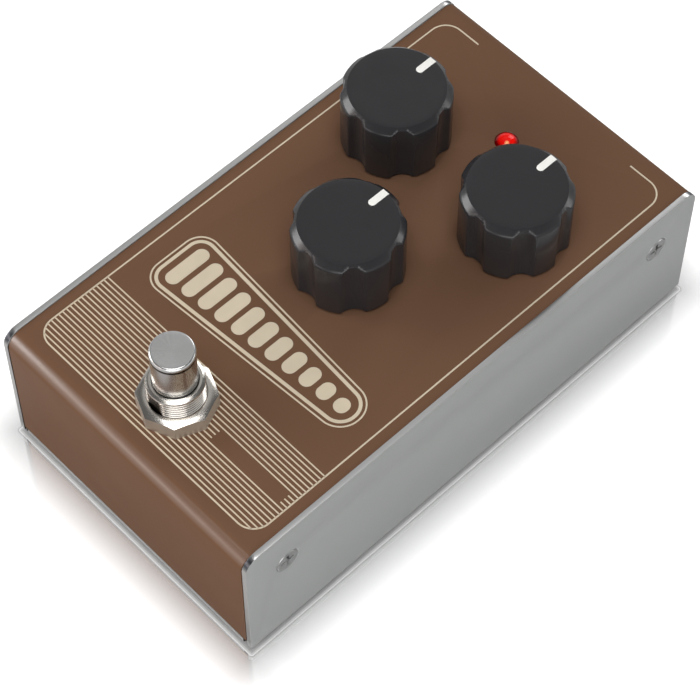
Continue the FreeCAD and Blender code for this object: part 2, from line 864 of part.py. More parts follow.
def switch_wires():
    """Two wires from the switch's lugs to the header on the board."""
    wires = []
    for point in lug_points():
        start = V(point.x, point.y + lug_thickness / 2, wire_height)
        corner = V(point.x, on_board(header_place).y, wire_height)
        end = V(point.x, corner.y, board_under - header_height)
        wire, bend = corner_tube(start, corner, end, wire_diameter / 2)
        print("switch wire bend radius", round(bend, 2), "mm")
        wires.append(wire)
    return wires


def wire_header():
    """The block on the board that the switch wires end in."""
    at = on_board(header_place)
    return block(at.x, at.y, header_width, header_depth, board_under - header_height, board_under)


def leaf_contact(x, span, z, bore_radius):
    """A flat contact leaf beside a bore, with a pin up through the board."""
    low = z + bore_radius + leaf_bore_gap
    leaf = box(x - leaf_width / 2, x + leaf_width / 2, span[0], span[1], low, low + leaf_thickness)
    pin = rod(pin_radius, low, pin_top, Z, leaf_pin_point(x, span))
    return joined([leaf, pin])


def leaf_slots(x, span, z, bore_radius):
    """The room for a contact leaf and its pin in a housing."""
    reach = leaf_width / 2 + leaf_slot_clearance
    top = z + bore_radius + leaf_bore_gap + leaf_thickness + leaf_slot_clearance
    slot = box(x - reach, x + reach, span[0] - leaf_slot_clearance, span[1] + leaf_slot_clearance, z, top)
    way = rod(pin_radius + pin_clearance, z, board_under + 1, Z, leaf_pin_point(x, span))
    return [slot, way]


def jack_housing(x):
    """The jack's moulded body, bored right through for the plug."""
    at = V(x, 0, jack_z)
    body = box(x - jack_body_width / 2, x + jack_body_width / 2, jack_front, wall_inside,
               jack_z - jack_body_height / 2, jack_z + jack_body_height / 2)
    spigot_start = wall_inside - jack_sleeve_spigot
    tools = [
        rod(jack_bore_radius, jack_front - 1, wall_inside + 1, Y, at),
        rod(jack_spigot_diameter / 2 + thread_clearance, spigot_start, wall_inside + 1, Y, at),
    ]
    for span in jack_leaf_spans():
        tools += leaf_slots(x, span, jack_z, jack_bore_radius)
    return without(body, tools)


def jack_sleeve(x):
    """The threaded metal nose that passes through the rear wall."""
    at = V(x, 0, jack_z)
    nose = rod(jack_sleeve_diameter / 2, wall_inside, sleeve_end, Y, at)
    spigot = rod(jack_spigot_diameter / 2, wall_inside - jack_sleeve_spigot, wall_inside, Y, at)
    return joined([nose, spigot]).cut(rod(jack_bore_radius, jack_front, sleeve_end + 1, Y, at))


def jack_contacts():
    """Two contact leaves in each jack."""
    return [leaf_contact(x, span, jack_z, jack_bore_radius)
            for x in jack_places.values() for span in jack_leaf_spans()]


def jack_washers():
    """The washers behind the jack nuts."""
    inner = jack_sleeve_diameter / 2 + jack_panel_clearance
    return [ring(jack_washer_diameter / 2, inner, half_depth, half_depth + jack_washer_thickness,
                 Y, V(x, 0, jack_z)) for x in jack_places.values()]


def jack_nuts():
    """The nuts that hold the jacks to the rear wall."""
    start = half_depth + jack_washer_thickness
    bore = jack_sleeve_diameter / 2 + thread_clearance
    return [nut(jack_nut_flats, bore, start, start + jack_nut_height, Y, V(x, 0, jack_z), Z)
            for x in jack_places.values()]


def inlet_housing():
    """The power inlet's block, flush with the outside of the rear wall."""
    at = V(0, 0, inlet_z)
    body = box(-inlet_width / 2, inlet_width / 2, inlet_rear, half_depth,
               inlet_z - inlet_height / 2, inlet_z + inlet_height / 2)
    tools = [
        rod(inlet_bore_radius, half_depth - inlet_bore_depth, half_depth + 1, Y, at),
        rod(inlet_pin_radius + inlet_pin_fit, inlet_rear - 1, half_depth, Y, at),
    ]
    tools += leaf_slots(0, inlet_leaf_span(), inlet_z, inlet_bore_radius)
    return without(body, tools)


def inlet_contacts():
    """The centre pin with its tab up through the board, and the sleeve's contact leaf."""
    at = V(0, 0, inlet_z)
    pin = rod(inlet_pin_radius, inlet_rear - inlet_tab_thickness, half_depth - inlet_pin_setback, Y, at)
    tab = box(-inlet_tab_width / 2, inlet_tab_width / 2, inlet_rear - inlet_tab_thickness, inlet_rear,
              inlet_z - inlet_pin_radius, pin_top)
    return [joined([pin, tab]), leaf_contact(0, inlet_leaf_span(), inlet_z, inlet_bore_radius)]


def dip_chip(place, pins):
    """A dual in-line chip under the board, its long side along Y."""
    x, y, _ = on_board(place)
    length = pins / 2 * dip_pitch
    top = board_under - dip_standoff
    foot = top - dip_body_height
    pieces = [block(x, y, dip_body_width, length, foot, top)]
    knee = (foot + top) / 2
    for side in (-1, 1):
        outer = x + side * (dip_lead_spread + dip_lead_thickness) / 2
        inner = x + side * (dip_body_width / 2 - dip_lead_thickness)
        for k in range(pins // 2):
            pin_y = y + (k - (pins / 2 - 1) / 2) * dip_pitch
            near, far = sorted((inner, outer))
            pieces.append(box(near, far, pin_y - dip_lead_width / 2, pin_y + dip_lead_width / 2,
                              knee - dip_lead_thickness / 2, knee + dip_lead_thickness / 2))
            pieces.append(block(outer - side * dip_lead_thickness / 2, pin_y, dip_lead_thickness,
                                dip_lead_width, knee - dip_lead_thickness / 2, board_under))
    return joined(pieces)


def can_capacitor(place):
    """A round capacitor hanging under the board, with the groove near its seal."""
    at = on_board(place)
    radius = can_cap_diameter / 2
    body = rod(radius, board_under - can_cap_height, board_under, Z, at)
    groove_top = board_under - can_cap_height / 6
    groove = ring(radius + 1, radius - can_cap_groove, groove_top - can_cap_height / 12, groove_top, Z, at)
    return body.cut(groove)


def film_capacitor(place):
    """A boxed capacitor under the board."""
    at = on_board(place)
    return block(at.x, at.y, film_cap_length, film_cap_width, board_under - film_cap_height, board_under)


def resistor(place):
    """A resistor lying along X under the board on two bent leads."""
    x, y, _ = on_board(place)
    height = board_under - resistor_diameter / 2 - seat_gap
    body = rod(resistor_diameter / 2, -resistor_length / 2, resistor_length / 2, X, V(x, y, height))
    leads = []
    for side in (-1, 1):
        start = V(x + side * resistor_length / 2, y, height)
        corner = V(x + side * resistor_lead_spread / 2, y, height)
        lead, bend = corner_tube(start, corner, V(corner.x, y, board_under), resistor_lead_radius)
        leads.append(lead)
    return joined([body] + leads)


def bypass_relay():
    """The relay that passes the signal by when the effect is off."""
    at = on_board(relay_place)
    return block(at.x, at.y, relay_length, relay_width, board_under - relay_height, board_under)


def trimmer(place):
    """A small round trimmer with a screwdriver slot in its lower face."""
    at = on_board(place)
    foot = board_under - trimmer_height
    body = rod(trimmer_diameter / 2, foot, board_under, Z, at)
    slot = block(at.x, at.y, trimmer_diameter * 0.7, trimmer_slot, foot - 1, foot + trimmer_slot)
    return body.cut(slot)


def save(name, *solids):
    """Write one node, moved so that the origin is the middle of the outline."""
    shape = Part.makeCompound(list(solids)) if len(solids) > 1 else solids[0]
    if not shape.isValid():
        raise ValueError(name + " is not a valid shape")
    moved(shape, V(0, -jack_sleeve_reach / 2, 0)).exportStep(os.path.join("parts", name + ".step"))


def save_case():
    """The case and what closes it."""
    save("chassis", chassis())
    save("cover", cover())
    save("cover_brackets", *cover_brackets())
    save("clinch_nuts", *clinch_nuts())
    save("side_screws", *side_screws())
    save("rubber_feet", *rubber_feet())


def save_pots():
    """The three potentiometers with their knobs."""
    for side, place in pot_places.items():
        save("pot_housing_" + side, moved(pot_housing(), place))
        save("pot_bushing_" + side, moved(pot_bushing(), place))
        save("shaft_" + side, moved(shaft(), place))
        save("rotor_" + side, moved(rotor(), place))
        save("knob_" + side, moved(knob(), place))
        save("pointer_" + side, moved(pointer(), place))
    save("pot_wafers", *pot_wafers())
    save("pot_terminals", *pot_terminals())
    save("pot_washers", *pot_washers())
    save("pot_nuts", *pot_nuts())


def save_footswitch():
    """The footswitch and its wires."""
    save("footswitch_bushing", footswitch_bushing())
    save("footswitch_nut", footswitch_nut())
    save("footswitch_washer", footswitch_washer())
    save("footswitch_inner_nut", footswitch_inner_nut())
    save("footswitch_housing", footswitch_housing())
    save("footswitch_base", footswitch_base())
    save("footswitch_lugs", *footswitch_lugs())
    save("footswitch_button", footswitch_button())
    save("footswitch_bridge", footswitch_bridge())
    save("footswitch_spring", footswitch_spring())
    save("switch_wires", *switch_wires())
    save("wire_header", wire_header())


def save_rear():
    """The jacks and the power inlet on the rear wall."""
    for side, x in jack_places.items():
        save(side + "_jack_housing", jack_housing(x))
        save(side + "_jack_sleeve", jack_sleeve(x))
    save("jack_contacts", *jack_contacts())
    save("jack_washers", *jack_washers())
    save("jack_nuts", *jack_nuts())
    save("inlet_housing", inlet_housing())
    save("inlet_contacts", *inlet_contacts())


def save_board():
    """The circuit board, the status light and the components under the board."""
    save("main_board", main_board())
    save("status_led", status_led())
    save("led_leads", *led_leads())
    save("led_spacer", led_spacer())
    save("delay_chips", *[dip_chip(place, delay_pin_count) for place in delay_chip_places])
    save("amplifier_chips", *[dip_chip(place, amplifier_pin_count) for place in amplifier_places])
    save("can_capacitors", *[can_capacitor(place) for place in can_cap_places])
    save("film_capacitors", *[film_capacitor(place) for place in film_cap_places])
    save("resistors", *[resistor(place) for place in resistor_places])
    save("trimmers", *[trimmer(place) for place in trimmer_places])
    save("bypass_relay", bypass_relay())


def main():
    """Write every node of the pedal."""
    os.makedirs("parts", exist_ok=True)
    save_case()
    save_pots()
    save_footswitch()
    save_rear()
    save_board()


main()
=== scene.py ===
import logging
import math
from dataclasses import dataclass, field
from enum import Enum
from typing import Callable, Iterable, Protocol, Sequence

import bmesh
import bpy
from mathutils import Matrix, Vector


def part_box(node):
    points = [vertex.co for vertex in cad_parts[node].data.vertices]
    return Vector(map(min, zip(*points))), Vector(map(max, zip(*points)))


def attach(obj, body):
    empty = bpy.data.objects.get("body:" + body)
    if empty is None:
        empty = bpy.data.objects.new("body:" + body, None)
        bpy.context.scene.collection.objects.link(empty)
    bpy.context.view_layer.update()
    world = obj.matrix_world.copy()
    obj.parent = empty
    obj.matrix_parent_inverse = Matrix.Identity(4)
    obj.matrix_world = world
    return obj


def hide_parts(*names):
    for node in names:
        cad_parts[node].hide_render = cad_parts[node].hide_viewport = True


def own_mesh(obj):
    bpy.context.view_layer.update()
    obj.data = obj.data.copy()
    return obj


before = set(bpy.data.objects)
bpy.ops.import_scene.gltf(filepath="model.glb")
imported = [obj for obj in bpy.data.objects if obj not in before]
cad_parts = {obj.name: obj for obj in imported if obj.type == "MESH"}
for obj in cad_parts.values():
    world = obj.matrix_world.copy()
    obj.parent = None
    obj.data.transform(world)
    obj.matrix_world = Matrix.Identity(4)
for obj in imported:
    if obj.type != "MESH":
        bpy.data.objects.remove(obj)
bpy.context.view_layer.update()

LOG = logging.getLogger("pedal")
MM = 0.001
SHEET = 1.2
MERGE = 0.0005
CASE_BODY = "case"
SIDES = ("left", "right", "front")
SRGB_BREAK = 0.04045
FLOAT = "NodeSocketFloat"
VECTOR = "NodeSocketVector"
SocketValue = bpy.types.NodeSocket | float | Sequence[float]


class Axis(Enum):
    """The direction that a turned piece's own axis points in."""

    UP = "up"
    REAR = "rear"
    LEFT = "left"
    RIGHT = "right"

    def matrix(self) -> Matrix:
        """The turn from a piece drawn along +Z to this direction."""
        turns = {
            Axis.UP: Matrix.Identity(4),
            Axis.REAR: Matrix.Rotation(math.radians(-90), 4, "X"),
            Axis.LEFT: Matrix.Rotation(math.radians(-90), 4, "Y"),
            Axis.RIGHT: Matrix.Rotation(math.radians(90), 4, "Y"),
        }
        return turns[self]


def linear(red: int, green: int, blue: int) -> tuple[float, float, float, float]:
    """A screen colour as the linear colour that a shader takes.

    Args:
        red: Red from 0 to 255.
        green: Green from 0 to 255.
        blue: Blue from 0 to 255.

    Returns:
        Linear red, green, blue and an alpha of 1.
    """
    channels = []
    for value in (red, green, blue):
        share = value / 255
        low = share <= SRGB_BREAK
        channels.append(share / 12.92 if low else ((share + 0.055) / 1.055) ** 2.4)
    return (channels[0], channels[1], channels[2], 1.0)


def metres(values: Iterable[float]) -> tuple[float, ...]:
    """Millimetres as metres."""
    return tuple(value * MM for value in values)


def middle(node: str) -> Vector:
    """The middle of a CAD node's box, in millimetres."""
    low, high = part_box(node)
    return (low + high) / 2 / MM


def lowest(node: str) -> Vector:
    """The low corner of a CAD node's box, in millimetres."""
    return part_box(node)[0] / MM


def highest(node: str) -> Vector:
    """The high corner of a CAD node's box, in millimetres."""
    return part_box(node)[1] / MM


class Graph:
    """A shader or group tree that nodes are added to in one call each."""

    def __init__(self, tree: bpy.types.NodeTree, fresh: bool = True) -> None:
        """Start on a tree, emptied unless it isn't a fresh one."""
        self.tree = tree
        if fresh:
            tree.nodes.clear()

    def add(self, kind: str, inputs: dict[str | int, SocketValue] | None = None,
            **settings: object) -> bpy.types.Node:
        """Add a node.

        Args:
            kind: The node's class name without the ShaderNode prefix.
            inputs: Values or sockets by input name or number.
            **settings: Attributes of the node itself.

        Returns:
            The new node.
        """
        node = self.tree.nodes.new("ShaderNode" + kind)
        for name, value in settings.items():
            setattr(node, name, value)
        for name, value in (inputs or {}).items():
            self.feed(node.inputs[name], value)
        return node

    def feed(self, socket: bpy.types.NodeSocket, value: SocketValue) -> None:
        """Link a socket to an input, or set the input's value."""
        if isinstance(value, bpy.types.NodeSocket):
            self.tree.links.new(value, socket)
        else:
            socket.default_value = value

    def math(self, operation: str, *values: SocketValue, clamp: bool = False) -> bpy.types.NodeSocket:
        """The result of a Math node."""
        inputs = dict(enumerate(values))
        return self.add("Math", inputs, operation=operation, use_clamp=clamp).outputs[0]

    def mix(self, mask: SocketValue, first: SocketValue, second: SocketValue) -> bpy.types.NodeSocket:
        """A colour between two colours, by a mask."""
        node = self.add("Mix", data_type="RGBA")
        self.feed(node.inputs["Factor"], mask)
        self.feed(node.inputs[6], first)
        self.feed(node.inputs[7], second)
        return node.outputs[2]

    def ramp(self, value: SocketValue, low: float, high: float, start: float = 0.0,
             end: float = 1.0) -> bpy.types.NodeSocket:
        """A value spread from one range to another, clamped."""
        inputs = {"Value": value, "From Min": low, "From Max": high, "To Min": start, "To Max": end}
        return self.add("MapRange", inputs).outputs["Result"]

    def gradient(self, value: SocketValue, stops: Sequence[tuple[float, float]]) -> bpy.types.NodeSocket:
        """Shades of grey that blend from stop to stop of a value between 0 and 1."""
        node = self.add("ValToRGB", {"Fac": value})
        elements = node.color_ramp.elements
        for element, (position, shade) in ((elements[0], stops[0]), (elements[1], stops[-1])):
            element.position = position
            element.color = (shade, shade, shade, 1.0)
        for position, shade in stops[1:-1]:
            elements.new(position).color = (shade, shade, shade, 1.0)
        return node.outputs["Color"]

    def product(self, *values: SocketValue) -> bpy.types.NodeSocket:
        """The values multiplied one after the other."""
        result = values[0]
        for value in values[1:]:
            result = self.math("MULTIPLY", result, value)
        return result

    def vector(self, operation: str, *values: SocketValue,
               output: str = "Vector") -> bpy.types.NodeSocket:
        """The result of a Vector Math node."""
        return self.add("VectorMath", dict(enumerate(values)), operation=operation).outputs[output]

    def split(self, vector: bpy.types.NodeSocket) -> tuple[bpy.types.NodeSocket, ...]:
        """The X, the Y and the Z of a vector."""
        return tuple(self.add("SeparateXYZ", {0: vector}).outputs)

    def place(self) -> bpy.types.NodeSocket:
        """Object coordinates."""
        return self.add("TexCoord").outputs["Object"]

    def facing(self) -> bpy.types.NodeSocket:
        """The direction that the surface points in."""
        return self.add("NewGeometry").outputs["Normal"]

    def flat_from(self, centre: SocketValue) -> bpy.types.NodeSocket:
        """The way from an upright axis through a point to the surface, without its height."""
        return self.vector("MULTIPLY", self.vector("SUBTRACT", self.place(), centre), (1.0, 1.0, 0.0))


def group(name: str, inputs: dict[str, tuple[str, object]],
          outputs: Sequence[str]) -> tuple[Graph, bpy.types.Node, bpy.types.Node]:
    """A new shader node group with named sockets.

    Args:
        name: The group's name.
        inputs: Socket kind and default value by input name.
        outputs: Names of the outputs, which are all single values.

    Returns:
        The group's graph, its input node and its output node.
    """
    tree = bpy.data.node_groups.new(name, "ShaderNodeTree")
    for label, (kind, value) in inputs.items():
        socket = tree.interface.new_socket(label, in_out="INPUT", socket_type=kind)
        socket.default_value = value
    for label in outputs:
        tree.interface.new_socket(label, in_out="OUTPUT", socket_type=FLOAT)
    graph = Graph(tree)
    return graph, tree.nodes.new("NodeGroupInput"), tree.nodes.new("NodeGroupOutput")


def grain_group() -> bpy.types.NodeTree:
    """Fine surface grain: a height for bump and a mask for colour and roughness."""
    sizes = {"Fine mm": (FLOAT, 0.3), "Broad mm": (FLOAT, 12.0)}
    graph, given, result = group("surface_grain", sizes, ("Height", "Mottle"))
    where = graph.place()
    noises = []
    for size, detail in (("Fine mm", 3.0), ("Broad mm", 2.0)):
        scale = graph.math("DIVIDE", 1 / MM, given.outputs[size])
        noise = graph.add("TexNoise", {"Vector": where, "Scale": scale, "Detail": detail})
        noises.append(noise.outputs["Fac"])
    soft = graph.add("MapRange", {"Value": noises[1], "From Min": 0.2, "From Max": 0.8},
                     interpolation_type="SMOOTHERSTEP")
    graph.feed(result.inputs["Height"], noises[0])
    graph.feed(result.inputs["Mottle"], soft.outputs["Result"])
    return graph.tree


def edge_group() -> bpy.types.NodeTree:
    """A mask that is 1 along outward edges and 0 on open faces."""
    graph, given, result = group("edge_mask", {"Width mm": (FLOAT, 0.2)}, ("Edge",))
    bevel = graph.add("Bevel", {"Radius": graph.product(given.outputs["Width mm"], MM)}, samples=6)
    match = graph.vector("DOT_PRODUCT", bevel.outputs[0], graph.facing(), output="Value")
    graph.feed(result.inputs["Edge"], graph.ramp(match, 1.0, 0.9))
    return graph.tree


def lathe_group() -> bpy.types.NodeTree:
    """Turning marks: rings of uneven height about a point for bump, with the radius and the angle."""
    inputs = {"Centre": (VECTOR, (0.0, 0.0, 0.0)), "Pitch mm": (FLOAT, 0.08)}
    graph, given, result = group("turning_marks", inputs, ("Height", "Radius", "Angle"))
    flat = graph.flat_from(given.outputs["Centre"])
    radius = graph.vector("LENGTH", flat, output="Value")
    scale = graph.math("DIVIDE", 1 / MM, given.outputs["Pitch mm"])
    rings = graph.add("TexNoise", {"W": radius, "Scale": scale, "Detail": 2.0}, noise_dimensions="1D")
    x, y, _ = graph.split(flat)
    graph.feed(result.inputs["Height"], rings.outputs["Fac"])
    graph.feed(result.inputs["Radius"], radius)
    graph.feed(result.inputs["Angle"], graph.math("ARCTAN2", y, x))
    return graph.tree


class Effects:
    """The shared shader groups, each built once."""

    made: dict[str, bpy.types.NodeTree] = {}

    @classmethod
    def get(cls, builder: Callable[[], bpy.types.NodeTree]) -> bpy.types.NodeTree:
        """The group that a builder function makes."""
        if builder.__name__ not in cls.made:
            cls.made[builder.__name__] = builder()
        return cls.made[builder.__name__]

    @classmethod
    def use(cls, graph: Graph, builder: Callable[[], bpy.types.NodeTree], inputs: dict) -> bpy.types.Node:
        """Place a shared group in a material with its own values."""
        node = graph.tree.nodes.new("ShaderNodeGroup")
        node.node_tree = cls.get(builder)
        for name, value in inputs.items():
            graph.feed(node.inputs[name], value)
        return node


def new_material(name: str) -> tuple[bpy.types.Material, Graph, bpy.types.Node]:
    """A material with its graph and its Principled BSDF already linked.

    Args:
        name: The material's name.

    Returns:
        The material, its graph and the shader node.
    """
    material = bpy.data.materials.new(name)
    material.use_nodes = True
    graph = Graph(material.node_tree)
    shader = graph.add("BsdfPrincipled")
    output = graph.add("OutputMaterial")
    graph.feed(output.inputs["Surface"], shader.outputs[0])
    return material, graph, shader


@dataclass(frozen=True)
class Finish:
    """A surface finish: its colour, gloss and fine relief.

    Attributes:
        name: The material's name.
        colour: Screen colour of the clean surface.
        metal: Whether it is bare metal.
        rough: Roughness of the clean surface.
        rough_spread: How far the mottle moves the roughness.
        tint: How far the mottle darkens the colour.
        fine_mm: Size of the fine grain.
        height_mm: Height of the fine grain.
        broad_mm: Size of the mottle.
        coat: Weight of a clear coat.
        ior: How strongly the surface mirrors.
    """

    name: str
    colour: tuple[int, int, int]
    metal: bool = False
    rough: float = 0.45
    rough_spread: float = 0.06
    tint: float = 0.08
    fine_mm: float = 0.25
    height_mm: float = 0.004
    broad_mm: float = 9.0
    coat: float = 0.0
    ior: float = 1.45

    def parts(self) -> tuple[bpy.types.Material, Graph, bpy.types.Node, bpy.types.NodeSocket, bpy.types.Node]:
        """The material's shared parts.

        Returns:
            The material, its graph, its shader, its base colour and its grain group.
        """
        material, graph, shader = new_material(self.name)
        shader.inputs["Metallic"].default_value = 1.0 if self.metal else 0.0
        shader.inputs["Coat Weight"].default_value = self.coat
        shader.inputs["IOR"].default_value = self.ior
        grain = Effects.use(graph, grain_group, {"Fine mm": self.fine_mm, "Broad mm": self.broad_mm})
        bright = linear(*self.colour)
        dark = tuple(value * (1 - self.tint) for value in bright[:3]) + (1.0,)
        colour = graph.mix(grain.outputs["Mottle"], bright, dark)
        rough = graph.ramp(grain.outputs["Mottle"], 0.0, 1.0, self.rough - self.rough_spread,
                           self.rough + self.rough_spread)
        graph.feed(shader.inputs["Roughness"], rough)
        bump = graph.add("Bump", {"Height": grain.outputs["Height"], "Distance": self.height_mm * MM,
                                  "Strength": 1.0})
        graph.feed(shader.inputs["Normal"], bump.outputs[0])
        graph.feed(shader.inputs["Base Color"], colour)
        return material, graph, shader, colour, grain

    def build(self) -> bpy.types.Material:
        """The finished material."""
        return self.parts()[0]


@dataclass(frozen=True)
class EdgedFinish(Finish):
    """A painted or sheared piece whose edges show another colour.

    Attributes:
        edge_colour: Screen colour along the edges.
        edge_mm: Width of the edge band.
        edge_share: How much of the edge colour shows.
        edge_break: Heights of the grain between which the edge colour comes in.
    """

    edge_colour: tuple[int, int, int] = (200, 200, 200)
    edge_mm: float = 0.2
    edge_share: float = 0.5
    edge_break: tuple[float, float] = (0.35, 0.6)

    def build(self) -> bpy.types.Material:
        """The finished material, with its edges."""
        material, graph, shader, colour, grain = self.parts()
        edge = Effects.use(graph, edge_group, {"Width mm": self.edge_mm})
        broken = graph.product(edge.outputs["Edge"], graph.ramp(grain.outputs["Height"], *self.edge_break))
        mask = graph.math("MULTIPLY", broken, self.edge_share, clamp=True)
        graph.feed(shader.inputs["Base Color"], graph.mix(mask, colour, linear(*self.edge_colour)))
        return material


@dataclass(frozen=True)
class FoldedFinish(EdgedFinish):
    """Enamel that is polished by handling where the sheet folds from the top to the front.

    Attributes:
        fold_rough: Roughness of the polished coat.
        fold_gloss: Weight of the coat at the middle of the fold.
        fold_ior: How strongly the polished coat mirrors.
        fold_facing: How far up and forward at once the sheet points where the coat starts and is full.
    """

    fold_rough: float = 0.38
    fold_gloss: float = 0.68
    fold_ior: float = 2.2
    fold_facing: tuple[float, float] = (0.28, 0.5)

    def build(self) -> bpy.types.Material:
        """The finished material, with its fold told by where it points."""
        material = super().build()
        graph = Graph(material.node_tree, fresh=False)
        shader = next(node for node in material.node_tree.nodes if node.type == "BSDF_PRINCIPLED")
        _, y, z = graph.split(graph.facing())
        both = graph.product(y, -1.0, z)
        graph.feed(shader.inputs["Coat Weight"], graph.ramp(both, *self.fold_facing, 0.0, self.fold_gloss))
        shader.inputs["Coat Roughness"].default_value = self.fold_rough
        shader.inputs["Coat IOR"].default_value = self.fold_ior
        return material


@dataclass(frozen=True)
class SheetMetalFinish(Finish):
    """Satin sheet whose sheared edges are brighter and barer than its faces, with painted shade on its inner
    faces and sheared corners.

    Attributes:
        shear_colour: Screen colour of the sheared edges.
        corner_shade_colour: Screen colour of the painted shade on the sheared edges round the corners.
        shear_rough: Roughness of the sheared edges.
        shear_metal: How metallic the sheared edges are.
        shear_facing: How far sideways the sheet points where its edges start and are full.
        corner_facing: How far up and lengthwise at once it points where the painted corner shade starts and
            is full.
        lip_mm: Heights over which the sheet's low lips, which have no bare edges, end.
        inner_shade_colour: Screen colour of the painted shade on the side plates' inner faces.
        inner_mm: Distances outside a plate's inner face over which it stops being one.
        inner_facing: How far sideways an inner face points where it starts and is full.
        fold_mm: How far below their upper edges the inner faces start to take the painted shade.
        fade_mm: The height over which they darken.
    """

    shear_colour: tuple[int, int, int] = (201, 201, 200)
    corner_shade_colour: tuple[int, int, int] = (88, 90, 95)
    shear_rough: float = 0.31
    shear_metal: float = 0.95
    shear_facing: tuple[float, float] = (0.6, 0.3)
    corner_facing: tuple[float, float] = (0.2, 0.45)
    lip_mm: tuple[float, float] = (3.0, 3.2)
    inner_shade_colour: tuple[int, int, int] = (30, 28, 26)
    inner_mm: tuple[float, float] = (0.05, 0.1)
    inner_facing: tuple[float, float] = (0.5, 0.7)
    fold_mm: float = 2.0
    fade_mm: float = 1.0

    def build(self) -> bpy.types.Material:
        """The finished material, with the edges told from the faces by where they point."""
        material, graph, shader, colour, _ = self.parts()
        x, y, z = graph.split(graph.facing())
        sideways = graph.math("ABSOLUTE", x)
        shear = graph.product(graph.ramp(sideways, *self.shear_facing), self.above_lips(graph))
        # Painted shade: the plates' inner faces below the fold are darkened, so the seams look dark.
        inside = graph.product(self.inner_faces(graph), graph.ramp(sideways, *self.inner_facing))
        faces = graph.mix(inside, colour, linear(*self.inner_shade_colour))
        # Painted shade: sheared edges that point up and lengthwise at once are darkened.
        corner = graph.ramp(graph.product(z, graph.math("ABSOLUTE", y)), *self.corner_facing)
        bare = graph.mix(corner, linear(*self.shear_colour), linear(*self.corner_shade_colour))
        graph.feed(shader.inputs["Base Color"], graph.mix(shear, faces, bare))
        graph.feed(shader.inputs["Metallic"], graph.product(shear, self.shear_metal))
        face_rough = graph.product(shader.inputs["Roughness"].links[0].from_socket,
                                   graph.math("SUBTRACT", 1.0, shear))
        graph.feed(shader.inputs["Roughness"],
                   graph.math("ADD", face_rough, graph.product(shear, self.shear_rough)))
        return material

    def above_lips(self, graph: Graph) -> bpy.types.NodeSocket:
        """A mask of what stands higher than the lips at the front and the rear."""
        _, _, z = graph.split(graph.place())
        low, high = (lowest("chassis").z * MM + value for value in metres(self.lip_mm))
        return graph.ramp(z, low, high)

    def inner_faces(self, graph: Graph) -> bpy.types.NodeSocket:
        """A mask of the side plates' inner faces below the fold of the cover, which take painted shade."""
        x, _, z = graph.split(graph.place())
        inner = (highest("chassis").x - SHEET) * MM
        near, far = (inner + value for value in metres(self.inner_mm))
        fold = (highest("chassis").z - self.fold_mm) * MM
        return graph.product(graph.ramp(graph.math("ABSOLUTE", x), far, near),
                             graph.ramp(z, fold, fold - self.fade_mm * MM))


@dataclass(frozen=True)
class TurnedFinish(Finish):
    """Bare metal with turning marks about an axis, and painted shade in its grooves.

    Attributes:
        centre_mm: A point on the axis.
        pitch_mm: Spacing of the marks.
        mark_mm: Height of the marks.
        shade_radii_mm: Radii between which the painted shade in the grooves fades out.
        painted_shade_colour: Screen colour of the painted shade.
        span_mm: Heights between which there is painted shade.
        fade_mm: The heights over which the painted shade starts below them and ends above them.
        streak: How far the colour is darkened in streaks that run out from the axis, a painted sheen like a
            turned face's.
        streak_scale: How closely the streaks follow each other.
        streak_range: Values of the noise between which a streak fades.
    """

    centre_mm: tuple[float, float, float] = (0.0, 0.0, 0.0)
    pitch_mm: float = 0.06
    mark_mm: float = 0.004
    shade_radii_mm: tuple[float, float] = (0.0, 0.0)
    painted_shade_colour: tuple[int, int, int] = (44, 40, 38)
    span_mm: tuple[float, float] = (0.0, 0.0)
    fade_mm: tuple[float, float] = (0.3, 0.02)
    streak: float = 0.0
    streak_scale: float = 5.0
    streak_range: tuple[float, float] = (0.7, 0.3)

    def build(self) -> bpy.types.Material:
        """The finished material, with its turning marks."""
        material, graph, shader, colour, _ = self.parts()
        marks = Effects.use(graph, lathe_group, {"Centre": metres(self.centre_mm), "Pitch mm": self.pitch_mm})
        bump = graph.add("Bump", {"Height": marks.outputs["Height"], "Distance": self.mark_mm * MM,
                                  "Strength": 1.0})
        graph.feed(shader.inputs["Normal"], bump.outputs[0])
        # Painted sheen: darker streaks by angle round the axis stand in for the sheen of a turned face.
        if self.streak:
            rays = graph.add("TexNoise", {"W": marks.outputs["Angle"], "Scale": self.streak_scale,
                                          "Detail": 4.0}, noise_dimensions="1D")
            dark = linear(*(round(value * (1 - self.streak)) for value in self.colour))
            colour = graph.mix(graph.ramp(rays.outputs["Fac"], *self.streak_range), colour, dark)
        # Painted shade: the grooves are darkened by radius within a band of heights.
        if any(self.shade_radii_mm):
            _, _, height = graph.split(graph.place())
            low, high = metres(self.span_mm)
            inner, outer = metres(self.shade_radii_mm)
            painted_shade = graph.product(graph.ramp(height, low - self.fade_mm[0] * MM, low),
                                 graph.ramp(height, high + self.fade_mm[1] * MM, high),
                                 graph.ramp(marks.outputs["Radius"], outer, inner))
            colour = graph.mix(painted_shade, colour, linear(*self.painted_shade_colour))
        graph.feed(shader.inputs["Base Color"], colour)
        return material


@dataclass(frozen=True)
class NutFinish(Finish):
    """Plated metal that is polished on top and drawn, so duller, on its upright sides.

    Attributes:
        side_rough: Roughness of the sides.
        side_facing: How far up the metal points where the sides end and the top starts.
    """

    side_rough: float = 0.45
    side_facing: tuple[float, float] = (0.2, 0.6)

    def build(self) -> bpy.types.Material:
        """The finished material, with its sides told by where they point."""
        material, graph, shader, _, _ = self.parts()
        _, _, up = graph.split(graph.facing())
        graph.feed(shader.inputs["Roughness"],
                   graph.ramp(up, *self.side_facing, self.side_rough, self.rough))
        return material


